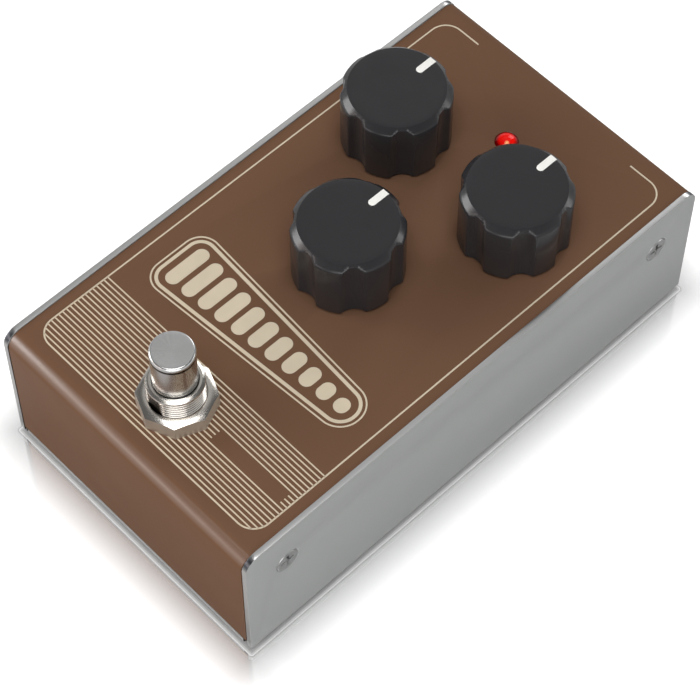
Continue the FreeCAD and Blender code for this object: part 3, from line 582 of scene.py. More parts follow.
@dataclass(frozen=True)
class LensFinish(Finish):
    """Tinted plastic that glows, with a painted glint near its middle and painted shade towards its rim.

    Attributes:
        centre_mm: A point on the lens's axis.
        radius_mm: Radius of the lens.
        rim_shade_colour: Screen colour of the painted shade at the rim.
        rim_share: Shares of the radius between which the rim darkens.
        glint_colour: Screen colour of the painted glint, the lit chip's light as it shows through the lens.
        glint_mm: Radii from which and to which the painted glint fades.
        glint_shift_mm: How far the painted glint lies from the axis, towards the front right.
        glow: Strength of the glow.
    """

    centre_mm: tuple[float, float, float] = (0.0, 0.0, 0.0)
    radius_mm: float = 2.5
    rim_shade_colour: tuple[int, int, int] = (90, 0, 0)
    rim_share: tuple[float, float] = (0.6, 0.88)
    glint_colour: tuple[int, int, int] = (255, 176, 120)
    glint_mm: tuple[float, float] = (0.1, 0.6)
    glint_shift_mm: tuple[float, float, float] = (0.7, -0.7, 0.0)
    glow: float = 0.3

    def build(self) -> bpy.types.Material:
        """The finished material."""
        material, graph, shader, colour, _ = self.parts()
        flat = graph.flat_from(metres(self.centre_mm))
        away = graph.vector("LENGTH", flat, output="Value")
        # Painted shade darkens the lens towards its rim, and a painted glint lights it near its middle.
        rim = graph.ramp(away, *(share * self.radius_mm * MM for share in self.rim_share))
        beside = graph.vector("DISTANCE", flat, metres(self.glint_shift_mm), output="Value")
        glint = graph.ramp(beside, *metres(self.glint_mm), 1.0, 0.0)
        lit = graph.mix(glint, colour, linear(*self.glint_colour))
        shade = graph.mix(rim, lit, linear(*self.rim_shade_colour))
        graph.feed(shader.inputs["Base Color"], shade)
        graph.feed(shader.inputs["Emission Color"], shade)
        shader.inputs["Emission Strength"].default_value = self.glow
        return material


class Finishes:
    """Every finish of the pedal, each built when it is first used."""

    catalogue: dict[str, Finish] = {
        "brown_enamel": FoldedFinish("brown_enamel", (109, 81, 63), rough=0.34, rough_spread=0.04, tint=0.03,
                                    fine_mm=0.35, height_mm=0.003, broad_mm=22.0, ior=1.05,
                                    edge_colour=(142, 116, 98), edge_mm=0.25, edge_share=0.4),
        "grey_enamel": SheetMetalFinish("grey_enamel", (153, 155, 154), rough=0.31, rough_spread=0.03,
                                        tint=0.02, fine_mm=0.2, height_mm=0.002, broad_mm=26.0, ior=1.42),
        "print_cream": Finish("print_cream", (207, 194, 171), rough=0.5, tint=0.05, fine_mm=0.15,
                              height_mm=0.003, broad_mm=4.0, ior=1.15),
        "zinc": Finish("zinc", (168, 166, 160), metal=True, rough=0.34, rough_spread=0.08, tint=0.12,
                       fine_mm=0.4, broad_mm=2.5),
        "screw_steel": Finish("screw_steel", (172, 173, 172), metal=True, rough=0.36, rough_spread=0.05,
                              tint=0.1, fine_mm=0.3, broad_mm=1.5),
        "nickel": Finish("nickel", (214, 209, 202), metal=True, rough=0.21, rough_spread=0.03, tint=0.05,
                         fine_mm=0.5, height_mm=0.001, broad_mm=4.0),
        # The knob's lighter edge colour is a painted highlight along its edges.
        "knob_black": EdgedFinish("knob_black", (42, 42, 44), rough=0.22, rough_spread=0.03, tint=0.08,
                                  fine_mm=0.12, height_mm=0.0012, broad_mm=6.0, edge_colour=(74, 74, 76),
                                  edge_mm=0.12, edge_share=0.2, ior=1.38),
        "pointer_white": Finish("pointer_white", (240, 239, 234), rough=0.4, tint=0.03, fine_mm=0.2,
                                height_mm=0.003, broad_mm=2.0),
        "black_plastic": Finish("black_plastic", (30, 30, 31), rough=0.5, tint=0.2, fine_mm=0.2,
                                height_mm=0.008, broad_mm=5.0),
        "rubber": Finish("rubber", (34, 34, 34), rough=0.75, tint=0.2, fine_mm=0.25, height_mm=0.02),
        "phenolic": Finish("phenolic", (150, 100, 58), rough=0.55, tint=0.15, fine_mm=0.3, height_mm=0.01),
        "brass": Finish("brass", (200, 168, 100), metal=True, rough=0.25, rough_spread=0.08, tint=0.12),
        "tinned": Finish("tinned", (196, 196, 194), metal=True, rough=0.28, rough_spread=0.1, tint=0.1,
                         fine_mm=0.3, height_mm=0.006, broad_mm=1.0),
        "board_green": Finish("board_green", (28, 92, 56), rough=0.32, tint=0.25, fine_mm=0.5,
                              height_mm=0.01, broad_mm=2.2, coat=0.3),
        "chip_black": Finish("chip_black", (32, 32, 33), rough=0.6, tint=0.25, fine_mm=0.15,
                             height_mm=0.012),
        "can_aluminium": Finish("can_aluminium", (170, 172, 176), metal=True, rough=0.26, tint=0.08),
        "film_blue": Finish("film_blue", (34, 66, 140), rough=0.25, tint=0.15, coat=0.5),
        "resistor_tan": Finish("resistor_tan", (198, 172, 122), rough=0.4, tint=0.12),
        "wire_black": Finish("wire_black", (28, 28, 29), rough=0.5, tint=0.2),
        "relay_white": Finish("relay_white", (214, 213, 206), rough=0.35, tint=0.06),
        "nylon": Finish("nylon", (222, 221, 214), rough=0.45, tint=0.06),
        "bright_steel": Finish("bright_steel", (176, 177, 180), metal=True, rough=0.3, tint=0.08),
    }
    made: dict[str, bpy.types.Material] = {}

    @classmethod
    def get(cls, name: str) -> bpy.types.Material:
        """The material of a finish."""
        if name not in cls.made:
            cls.made[name] = cls.catalogue[name].build()
        return cls.made[name]

    @classmethod
    def register(cls, finish: Finish) -> str:
        """Add a finish that belongs to one piece, and return its name."""
        cls.catalogue[finish.name] = finish
        return finish.name


def soften(bm: bmesh.types.BMesh, width: float, segments: int = 2, least_deg: float = 30.0) -> None:
    """Round the sharp edges of a mesh.

    Args:
        bm: The mesh, in millimetres.
        width: Width of the rounding.
        segments: Faces across the rounding.
        least_deg: Smallest angle between two faces that is rounded.
    """
    edges = [edge for edge in bm.edges
             if edge.is_manifold and edge.calc_face_angle(0.0) > math.radians(least_deg)]
    bmesh.ops.bevel(bm, geom=edges, offset=width, segments=segments, profile=0.5, affect="EDGES",
                    clamp_overlap=True, material=-1)


def place(bm: bmesh.types.BMesh, at: Vector, axis: Axis = Axis.UP) -> None:
    """Turn a mesh drawn along +Z to its axis and move it, in millimetres."""
    bmesh.ops.transform(bm, matrix=Matrix.Translation(at) @ axis.matrix(), verts=bm.verts)


def floor_point(point: Vector) -> Vector:
    """The point at height 0 under a point."""
    return Vector((point.x, point.y, 0.0))


def verts_in(geometry: Iterable) -> list[bmesh.types.BMVert]:
    """The vertices in what an operator gives back."""
    return [item for item in geometry if isinstance(item, bmesh.types.BMVert)]


def to_circle(verts: Iterable[bmesh.types.BMVert], radius: float, height: float | None = None) -> None:
    """Move vertices straight to a circle about Z, at their own height unless one is given."""
    for vert in verts:
        flat = floor_point(vert.co).normalized() * radius
        vert.co = Vector((flat.x, flat.y, vert.co.z if height is None else height))


def make_piece(bm: bmesh.types.BMesh, name: str, finish: str, body: str = CASE_BODY,
               replaced: Sequence[str] = (), smooth_deg: float = 35.0) -> bpy.types.Object:
    """Turn a mesh in millimetres into a finished piece that rides on a body.

    Args:
        bm: The mesh, which is freed.
        name: The piece's name.
        finish: The finish's name.
        body: The body that carries the piece.
        replaced: CAD nodes that the piece stands for.
        smooth_deg: Faces that meet at less than this are shaded as one surface.

    Returns:
        The new object.
    """
    bmesh.ops.remove_doubles(bm, verts=bm.verts, dist=MERGE)
    bmesh.ops.recalc_face_normals(bm, faces=bm.faces)
    bmesh.ops.scale(bm, vec=(MM, MM, MM), verts=bm.verts)
    mesh = bpy.data.meshes.new(name)
    bm.to_mesh(mesh)
    bm.free()
    mesh.shade_smooth()
    mesh.set_sharp_from_angle(angle=math.radians(smooth_deg))
    mesh.materials.append(Finishes.get(finish))
    piece = bpy.data.objects.new(name, mesh)
    bpy.context.scene.collection.objects.link(piece)
    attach(piece, body)
    if replaced:
        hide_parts(*replaced)
    LOG.info("%s: %d faces", name, len(mesh.polygons))
    return piece


def turned(outline: Sequence[tuple[float, float]], steps: int = 96,
           closed: bool = False) -> bmesh.types.BMesh:
    """A piece turned about Z from its outline.

    Args:
        outline: Radius and height of each corner, in order.
        steps: Faces round the axis.
        closed: Whether the outline's last corner joins its first, as on a ring.

    Returns:
        The mesh, in millimetres.
    """
    bm = bmesh.new()
    corners = [bm.verts.new((radius, 0.0, height)) for radius, height in outline]
    edges = [bm.edges.new(pair) for pair in zip(corners, corners[1:])]
    if closed:
        edges.append(bm.edges.new((corners[-1], corners[0])))
    bmesh.ops.spin(bm, geom=corners + edges, axis=(0, 0, 1), cent=(0, 0, 0), angle=math.tau, steps=steps,
                   use_merge=True)
    bmesh.ops.remove_doubles(bm, verts=bm.verts, dist=MERGE)
    bmesh.ops.recalc_face_normals(bm, faces=bm.faces)
    return bm


def stacked(levels: Sequence[Callable[[float], tuple[float, float]]], steps: int) -> bmesh.types.BMesh:
    """A solid whose outline at each level changes its distance from the Z axis and its height round it.

    Args:
        levels: Each outline's distance from the axis and its height by angle, from the bottom up.
        steps: Points round the outline.

    Returns:
        The mesh, in millimetres, closed at both ends.
    """
    bm = bmesh.new()
    ring = bmesh.ops.create_circle(bm, cap_ends=True, radius=1.0, segments=steps)["verts"]
    for number, level in enumerate(levels):
        if number:
            top = [face for face in bm.faces if all(vert in ring for vert in face.verts)]
            raised = bmesh.ops.extrude_face_region(bm, geom=top)["geom"]
            if number > 1:
                bmesh.ops.delete(bm, geom=top, context="FACES_ONLY")
            ring = verts_in(raised)
        for vert in ring:
            angle = math.atan2(vert.co.y, vert.co.x)
            reach, height = level(angle)
            vert.co = (reach * math.cos(angle), reach * math.sin(angle), height)
        ring = set(ring)
    return bm


def smooth_min(first: float, second: float, blend: float) -> float:
    """The smaller of two lengths, with a rounded change from one to the other."""
    share = max(blend - abs(first - second), 0.0) / blend
    return min(first, second) - share * share * blend / 4


def mesh_of(node: str) -> bmesh.types.BMesh:
    """A CAD node's mesh in millimetres."""
    bm = bmesh.new()
    bm.from_mesh(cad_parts[node].data)
    bmesh.ops.scale(bm, vec=(1 / MM, 1 / MM, 1 / MM), verts=bm.verts)
    return bm


def copy_of(node: str) -> bmesh.types.BMesh:
    """A CAD node's mesh in millimetres, with its triangles merged into flat faces."""
    bm = mesh_of(node)
    bmesh.ops.remove_doubles(bm, verts=bm.verts, dist=2 * MERGE)
    bmesh.ops.dissolve_limit(bm, angle_limit=math.radians(0.5), verts=bm.verts, edges=bm.edges)
    return bm


def softened_copy(node: str, name: str, finish: str, width: float, segments: int = 2,
                  least_deg: float = 40.0) -> bpy.types.Object:
    """A piece in place of a CAD node, with the same shape and rounded edges."""
    bm = copy_of(node)
    soften(bm, width, segments, least_deg)
    return make_piece(bm, name, finish, replaced=[node])


def thread_outline(radius: float, low: float, high: float, pitch: float, depth: float,
                   crest: tuple[float, float] = (0.36, 0.64)) -> list[tuple[float, float]]:
    """The outline of a threaded stretch, from its low end to its high end.

    Args:
        radius: Outer radius.
        low: Height of the lower end.
        high: Height of the upper end.
        pitch: Spacing of the ridges.
        depth: Depth of the grooves.
        crest: Where each ridge's flat top starts and ends, as shares of the spacing.

    Returns:
        Radius and height of each corner.
    """
    ridges = max(1, round((high - low) / pitch))
    step = (high - low) / ridges
    corners = []
    for number in range(ridges):
        start = low + number * step
        corners.append((radius - depth, start))
        corners += [(radius, start + share * step) for share in crest]
    corners.append((radius - depth, high))
    return corners


@dataclass
class Nut:
    """A nut with flat sides and chamfered corners.

    Attributes:
        name: The piece's name.
        at: The middle of its seat.
        flats: Distance across flats.
        height: Height.
        bore: Radius of its hole.
        axis: Direction that it faces.
        sides: Number of its flats.
        rim: How far inside the flats its top starts to fall.
        chamfer_deg: Slope of the chamfer round it.
        lead: Width of the chamfer at its hole.
        inset: Width of the first band that is cut round its hole.
        steps: Points round its outline.
    """

    name: str
    at: Vector
    flats: float
    height: float
    bore: float
    axis: Axis = Axis.UP
    sides: int = 6
    rim: float = 0.1
    chamfer_deg: float = 20.0
    lead: float = 0.12
    inset: float = 0.4
    steps: int = 144

    def across(self, angle: float) -> float:
        """The outline's distance from its axis, with a corner at angle 0."""
        step = math.tau / self.sides
        return self.flats / 2 / math.cos(angle % step - step / 2)

    def fall(self, reach: float) -> float:
        """The chamfer's height at a distance from the axis."""
        inside = self.flats / 2 - self.rim
        return self.height - (reach - inside) * math.tan(math.radians(self.chamfer_deg))

    def build(self) -> bmesh.types.BMesh:
        """The nut's mesh in place."""
        inside = self.flats / 2 - self.rim
        levels = [
            lambda angle: (self.across(angle), 0.0),
            lambda angle: (self.across(angle), self.fall(self.across(angle))),
            lambda angle: (inside, self.height),
        ]
        bm = stacked(levels, self.steps)
        self.open_bore(bm)
        place(bm, self.at, self.axis)
        return bm

    def open_bore(self, bm: bmesh.types.BMesh) -> None:
        """Cut the hole by insetting both end faces and joining them."""
        rims = []
        ends = [face for face in bm.faces if len(face.verts) == self.steps]
        for face in ends:
            bmesh.ops.inset_individual(bm, faces=[face], thickness=self.inset)
            to_circle(face.verts, self.bore + self.lead)
            bmesh.ops.inset_individual(bm, faces=[face], thickness=self.inset / 4)
            to_circle(face.verts, self.bore)
            for vert in face.verts:
                vert.co.z += math.copysign(self.lead, self.height / 2 - vert.co.z)
            rims += list(face.edges)
        bmesh.ops.delete(bm, geom=ends, context="FACES_ONLY")
        bmesh.ops.bridge_loops(bm, edges=rims)


@dataclass
class Case:
    """The folded chassis and cover with what is printed and fastened on them."""

    edge_round: float = 0.22
    print_thickness: float = 0.025
    line_width: float = 0.35
    stripe_width: float = 0.29
    border_half_width: float = 32.1
    border_half_depth: float = 58.0
    border_corner: float = 4.2
    border_segments: int = 14
    border_gap_half: float = 22.3
    stripe_pitch: float = 1.0
    stripe_count: int = 19
    bare_low: float = -49.7
    bare_high: float = -46.8
    bare_left: float = 10.5
    bare_right: float = 30.2
    screw_recess: float = 1.8
    screw_gap: float = 0.27
    seam: float = 0.06
    fold_reach: float = 3.5
    reach_slack: float = 0.01
    cover_round: float = 0.12
    foot_round: float = 0.2

    def offset(self) -> float:
        """How far the case's middle lies behind the frame's origin."""
        return middle("cover").y

    def build(self) -> None:
        """Make every piece of the case."""
        softened_copy("chassis", "chassis_shell", "grey_enamel", self.edge_round, segments=3)
        self.cover()
        self.printed_border()
        self.printed_stripes()
        PrintedMotif(self).build()
        self.screws()
        self.feet()

    def cover(self) -> None:
        """The cover, carried out at its sides to a fine seam with the plates along its top."""
        side = highest("cover").x
        top = highest("cover").z
        plate = highest("chassis").x - SHEET
        bm = copy_of("cover")
        for vert in bm.verts:
            if abs(vert.co.x) > side - self.reach_slack:
                share = min(max(1 + (vert.co.z - top) / self.fold_reach, 0.0), 1.0)
                vert.co.x = math.copysign(side + share * (plate - self.seam - side), vert.co.x)
        soften(bm, self.cover_round, least_deg=40.0)
        make_piece(bm, "cover_shell", "brown_enamel", replaced=["cover"])

    def ink(self, bm: bmesh.types.BMesh, name: str) -> bpy.types.Object:
        """Turn flat outlines drawn at height 0 into a thin printed layer on the cover."""
        top = highest("cover").z
        raised = bmesh.ops.extrude_face_region(bm, geom=list(bm.faces))["geom"]
        bmesh.ops.translate(bm, verts=verts_in(raised), vec=(0, 0, self.print_thickness))
        place(bm, Vector((0, self.offset(), top)))
        return make_piece(bm, name, "print_cream")

    def printed_border(self) -> None:
        """The thin line round the panel, open at the middle of the rear."""
        bm = rounded_frame(self.border_half_width, self.border_half_depth, self.border_corner,
                           self.border_segments, self.line_width)
        for x in (-self.border_gap_half, self.border_gap_half):
            geometry = list(bm.verts) + list(bm.edges) + list(bm.faces)
            bmesh.ops.bisect_plane(bm, geom=geometry, plane_co=(x, 0, 0), plane_no=(1, 0, 0))
        gap = [face for face in bm.faces
               if face.calc_center_median().y > 0 and abs(face.calc_center_median().x) < self.border_gap_half]
        bmesh.ops.delete(bm, geom=gap, context="FACES")
        self.ink(bm, "printed_border")

    def printed_stripes(self) -> None:
        """The block of fine lines across the front, round a small bare field."""
        bm = bmesh.new()
        for number in range(self.stripe_count):
            y = -self.border_half_depth + (number + 1) * self.stripe_pitch
            inset = self.border_corner - (y + self.border_half_depth)
            reach = self.border_half_width
            if inset > 0:
                reach += math.sqrt(self.border_corner ** 2 - inset ** 2) - self.border_corner
            spans = [(-reach, reach)]
            if self.bare_low < y < self.bare_high:
                spans = [(-reach, self.bare_left), (self.bare_right, reach)]
            for start, end in spans:
                add_bar(bm, (start + end) / 2, y, end - start, self.stripe_width)
        self.ink(bm, "printed_stripes")

    def screws(self) -> None:
        """The four countersunk heads with their cross recesses."""
        low = lowest("side_screws")
        high = highest("side_screws")
        radius = middle("clinch_nuts").z - low.z
        head = radius - self.screw_gap
        for x_sign, axis in ((-1, Axis.LEFT), (1, Axis.RIGHT)):
            for y in (low.y + radius, high.y - radius):
                bm = CrossedScrew(head, self.screw_recess).build()
                place(bm, Vector((x_sign * high.x, y, middle("side_screws").z)), axis)
                label = "rear" if y > 0 else "front"
                side = "right" if x_sign > 0 else "left"
                nodes = ["side_screws"] if (side, label) == ("right", "rear") else []
                make_piece(bm, f"side_screw_{side}_{label}", "screw_steel", replaced=nodes)

    def feet(self) -> None:
        """The four thin pads with rounded rims."""
        softened_copy("rubber_feet", "foot_pads", "rubber", self.foot_round)


@dataclass
class CrossedScrew:
    """A countersunk screw with a tapered cross recess, its flat end at height 0.

    Attributes:
        radius: Radius of the head.
        reach: Length of each arm of the cross from the axis.
        arm_share: Half an arm's width, as a share of its length.
        depth_share: Depth of the recess, as a share of the arm's length.
        taper: Size of the recess at its bottom, as a share of its mouth.
        rim: Width of the chamfer round the flat end.
        edge: Height at which the head starts to narrow.
        length: Length of the screw.
        steps: Points round the head.
    """

    radius: float
    reach: float
    arm_share: float = 0.2
    depth_share: float = 0.65
    taper: float = 0.45
    rim: float = 0.14
    edge: float = 0.24
    length: float = 6.0
    steps: int = 64

    def build(self) -> bmesh.types.BMesh:
        """The screw's mesh, in millimetres."""
        bm = bmesh.new()
        cross = self.cross(bm)
        outline = [edge for edge in bm.edges if edge.is_boundary]
        circle = bmesh.ops.create_circle(bm, radius=self.radius - self.rim, segments=self.steps)["verts"]
        rim_edges = list({edge for vert in circle for edge in vert.link_edges})
        bmesh.ops.triangle_fill(bm, edges=outline + rim_edges, use_beauty=True)
        self.sink(bm, cross)
        shank = self.radius / 2
        for radius, height in ((self.radius, -self.rim), (self.radius, -self.edge),
                               (shank, -self.edge - shank), (shank, -self.length)):
            made = bmesh.ops.extrude_edge_only(bm, edges=rim_edges)["geom"]
            rim_edges = [item for item in made if isinstance(item, bmesh.types.BMEdge) and item.is_boundary]
            to_circle({vert for edge in rim_edges for vert in edge.verts}, radius, height)
        bmesh.ops.contextual_create(bm, geom=rim_edges)
        return bm

    def cross(self, bm: bmesh.types.BMesh) -> list[bmesh.types.BMFace]:
        """Add a flat cross, and return its faces."""
        half = self.arm_share * self.reach
        bmesh.ops.create_grid(bm, x_segments=3, y_segments=3, size=self.reach)
        for vert in bm.verts:
            for number in (0, 1):
                if abs(vert.co[number]) < self.reach / 2:
                    vert.co[number] = math.copysign(half, vert.co[number])
        corners = [face for face in bm.faces
                   if min(abs(face.calc_center_median().x), abs(face.calc_center_median().y)) > half]
        bmesh.ops.delete(bm, geom=corners, context="FACES")
        return list(bm.faces)

    def sink(self, bm: bmesh.types.BMesh, cross: list[bmesh.types.BMFace]) -> None:
        """Sink the cross into the head, narrower towards its bottom."""
        sunk = verts_in(bmesh.ops.extrude_face_region(bm, geom=cross)["geom"])
        bmesh.ops.delete(bm, geom=cross, context="FACES")
        bmesh.ops.scale(bm, vec=(self.taper, self.taper, 1), verts=sunk)
        bmesh.ops.translate(bm, vec=(0, 0, -self.depth_share * self.reach), verts=sunk)


def round_corners(bm: bmesh.types.BMesh, corners: list[bmesh.types.BMVert], radius: float,
                  segments: int) -> None:
    """Round the corners of a flat face."""
    bmesh.ops.bevel(bm, geom=corners, offset=radius, segments=segments, profile=0.5, affect="VERTICES",
                    material=-1)


def keep_outline(bm: bmesh.types.BMesh, line: float) -> None:
    """Leave only a line of even width along the rim of a flat shape."""
    shape = list(bm.faces)
    bmesh.ops.inset_region(bm, faces=shape, thickness=line, use_boundary=True, use_even_offset=True)
    bmesh.ops.delete(bm, geom=shape, context="FACES")


def rounded_frame(half_width: float, half_depth: float, corner: float, segments: int,
                  line: float) -> bmesh.types.BMesh:
    """A flat rounded rectangle drawn as a line of even width, centred on the line."""
    bm = bmesh.new()
    bmesh.ops.create_grid(bm, x_segments=1, y_segments=1, size=1.0)
    bmesh.ops.scale(bm, vec=(half_width + line / 2, half_depth + line / 2, 1), verts=bm.verts)
    round_corners(bm, list(bm.verts), corner + line / 2, segments)
    keep_outline(bm, line)
    return bm


def add_bar(bm: bmesh.types.BMesh, x: float, y: float, width: float,
            depth: float) -> list[bmesh.types.BMVert]:
    """Add a flat bar with its middle at a place, and return its corners."""
    corners = bmesh.ops.create_grid(bm, x_segments=1, y_segments=1, size=0.5)["verts"]
    bmesh.ops.scale(bm, vec=(width, depth, 1), verts=corners)
    bmesh.ops.translate(bm, vec=(x, y, 0), verts=corners)
    return corners


@dataclass
class PrintedMotif:
    """A plain fading row of upright rounded bars inside two tapered outlines."""

    case: Case
    left: float = -27.6
    right: float = 27.6
    middle_y: float = -25.6
    tall: float = 11.0
    short: float = 3.6
    bar_width: float = 3.3
    bars: int = 11
    bar_round_share: float = 0.49
    bar_segments: int = 8
    outline_room: float = 1.5
    thick_line: float = 0.75
    thin_line: float = 0.35
    line_gap: float = 0.6
    corner: float = 1.6
    corner_segments: int = 12

    def build(self) -> None:
        """Make the bars and the outlines as one printed layer each."""
        self.case.ink(self.bar_row(), "printed_bars")
        self.case.ink(self.outlines(), "printed_outlines")

    def reach(self) -> float:
        """How far the outlines reach beyond the bars."""
        return self.outline_room + self.thick_line + self.line_gap + self.thin_line

    def bar_row(self) -> bmesh.types.BMesh:
        """The upright bars, each shorter than the one before."""
        bm = bmesh.new()
        first = self.left + self.reach() + self.bar_width / 2
        last = self.right - self.reach() - self.bar_width / 2
        for number in range(self.bars):
            share = number / (self.bars - 1)
            height = self.tall + (self.short - self.tall) * share
            corners = add_bar(bm, first + (last - first) * share, self.middle_y, self.bar_width, height)
            round_corners(bm, corners, self.bar_width * self.bar_round_share, self.bar_segments)
        return bm

    def outlines(self) -> bmesh.types.BMesh:
        """A thick and a thin line round the row, following its taper."""
        whole = bmesh.new()
        grow = self.outline_room
        for line in (self.thick_line, self.thin_line):
            grow += line
            part = self.tapered_frame(grow, line)
            mesh = bpy.data.meshes.new("outline")
            part.to_mesh(mesh)
            part.free()
            whole.from_mesh(mesh)
            bpy.data.meshes.remove(mesh)
            grow += self.line_gap
        return whole

    def tapered_frame(self, grow: float, line: float) -> bmesh.types.BMesh:
        """One outline that is taller at the left than at the right."""
        reach = self.reach()
        bm = bmesh.new()
        bmesh.ops.create_grid(bm, x_segments=1, y_segments=1, size=1.0)
        for vert in bm.verts:
            left = vert.co.x < 0
            half = (self.tall if left else self.short) / 2 + grow
            x = self.left + reach - grow if left else self.right - reach + grow
            vert.co = (x, self.middle_y + math.copysign(half, vert.co.y), 0)
        round_corners(bm, list(bm.verts), self.corner + grow, self.corner_segments)
        keep_outline(bm, line)
        return bm


@dataclass
class Knob:
    """A fluted knob with its pointer.

    Attributes:
        side: Which of the three knobs it is.
    """

    side: str
    flutes: int = 7
    flute_radius: float = 3.6
    flute_depth: float = 1.38
    flute_fade: float = 0.35
    cusp_round: float = 0.3
    cusp_least: float = 0.03
    shoulder_width: float = 1.45
    shoulder_height: float = 1.5
    shoulder_round: float = 0.3
    foot_round: float = 0.3
    foot_share: float = 0.3
    shoulder_shares: tuple[float, ...] = (1.3, 1.15, 1.0, 0.85, 0.7, 0.4, 0.08)
    face_shares: tuple[float, ...] = (0.985, 0.9, 0.6)
    face_step: float = 0.02
    wall: float = 0.8
    recess_radii: tuple[float, float] = (8.4, 7.0)
    recess_room: float = 1.0
    recess_inset: float = 0.05
    steps: int = 336
    pointer_rise: float = 0.03
    pointer_round: float = 0.08

    def __post_init__(self) -> None:
        """Take the place and the size from the CAD knob."""
        node = "knob_" + self.side
        self.centre = middle("pot_bushing_" + self.side)
        self.radius = (highest(node).x - lowest(node).x) / 2
        self.low = lowest(node).z
        self.high = highest(node).z

    def outline(self, angle: float, limit: float, height: float) -> float:
        """The fluted outline's distance from the axis at a height, inside a limiting circle."""
        step = math.tau / self.flutes
        off = (angle + math.pi / 2 + step / 2) % step - step / 2
        depth = self.flute_depth * (1 - self.flute_fade * (height - self.low) / (self.high - self.low))
        centre = self.radius - depth + self.flute_radius
        span = self.flute_radius ** 2 - (centre * math.sin(off)) ** 2
        if span <= 0:
            return limit
        flute = centre * math.cos(off) - math.sqrt(span)
        share = (limit - self.radius + self.shoulder_width) / self.shoulder_width
        return smooth_min(limit, flute, self.cusp_round * max(share, self.cusp_least))

    def levels(self) -> list[Callable[[float], tuple[float, float]]]:
        """Outlines with their heights, from the rim's foot to its top face."""
        flat = self.radius - self.shoulder_width
        rings = [
            (self.low, self.radius - self.foot_round),
            (self.low + self.foot_round * self.foot_share, self.radius - self.foot_round * self.foot_share),
            (self.low + self.foot_round, self.radius),
        ]
        for share in self.shoulder_shares:
            reach = smooth_min(self.radius, flat + share * self.shoulder_width, self.shoulder_round)
            rings.append((self.high - share * self.shoulder_height, reach))
        rings.append((self.high - self.face_step, flat + self.face_step / 2))
        rings += [(self.high, flat * share) for share in self.face_shares]
        return [lambda angle, limit=limit, height=height: (self.outline(angle, limit, height), height)
                for height, limit in rings]

    def build(self) -> None:
        """Make the knob and its pointer."""
        bm = stacked(self.levels(), self.steps)
        underside = min(bm.faces, key=lambda face: face.calc_center_median().z)
        recess = highest("pot_nuts").z - self.low + self.recess_room
        bmesh.ops.inset_individual(bm, faces=[underside], thickness=self.wall)
        for radius in self.recess_radii:
            to_circle(underside.verts, radius, self.low)
            bmesh.ops.inset_individual(bm, faces=[underside], thickness=self.recess_inset)
        for vert in underside.verts:
            vert.co.z = self.low + recess
        place(bm, floor_point(self.centre))
        make_piece(bm, f"knob_{self.side}_body", "knob_black", "knob_body_" + self.side,
                   ["knob_" + self.side], smooth_deg=28)
        self.pointer()

    def pointer(self) -> None:
        """The inlaid bar, round at its inner end."""
        node = "pointer_" + self.side
        bm = copy_of(node)
        for vert in bm.verts:
            if vert.co.z > self.high - self.face_step / 2:
                vert.co.z += self.pointer_rise
        soften(bm, self.pointer_round, least_deg=50)
        make_piece(bm, f"pointer_{self.side}_bar", "pointer_white",
                   "knob_body_" + self.side, [node])


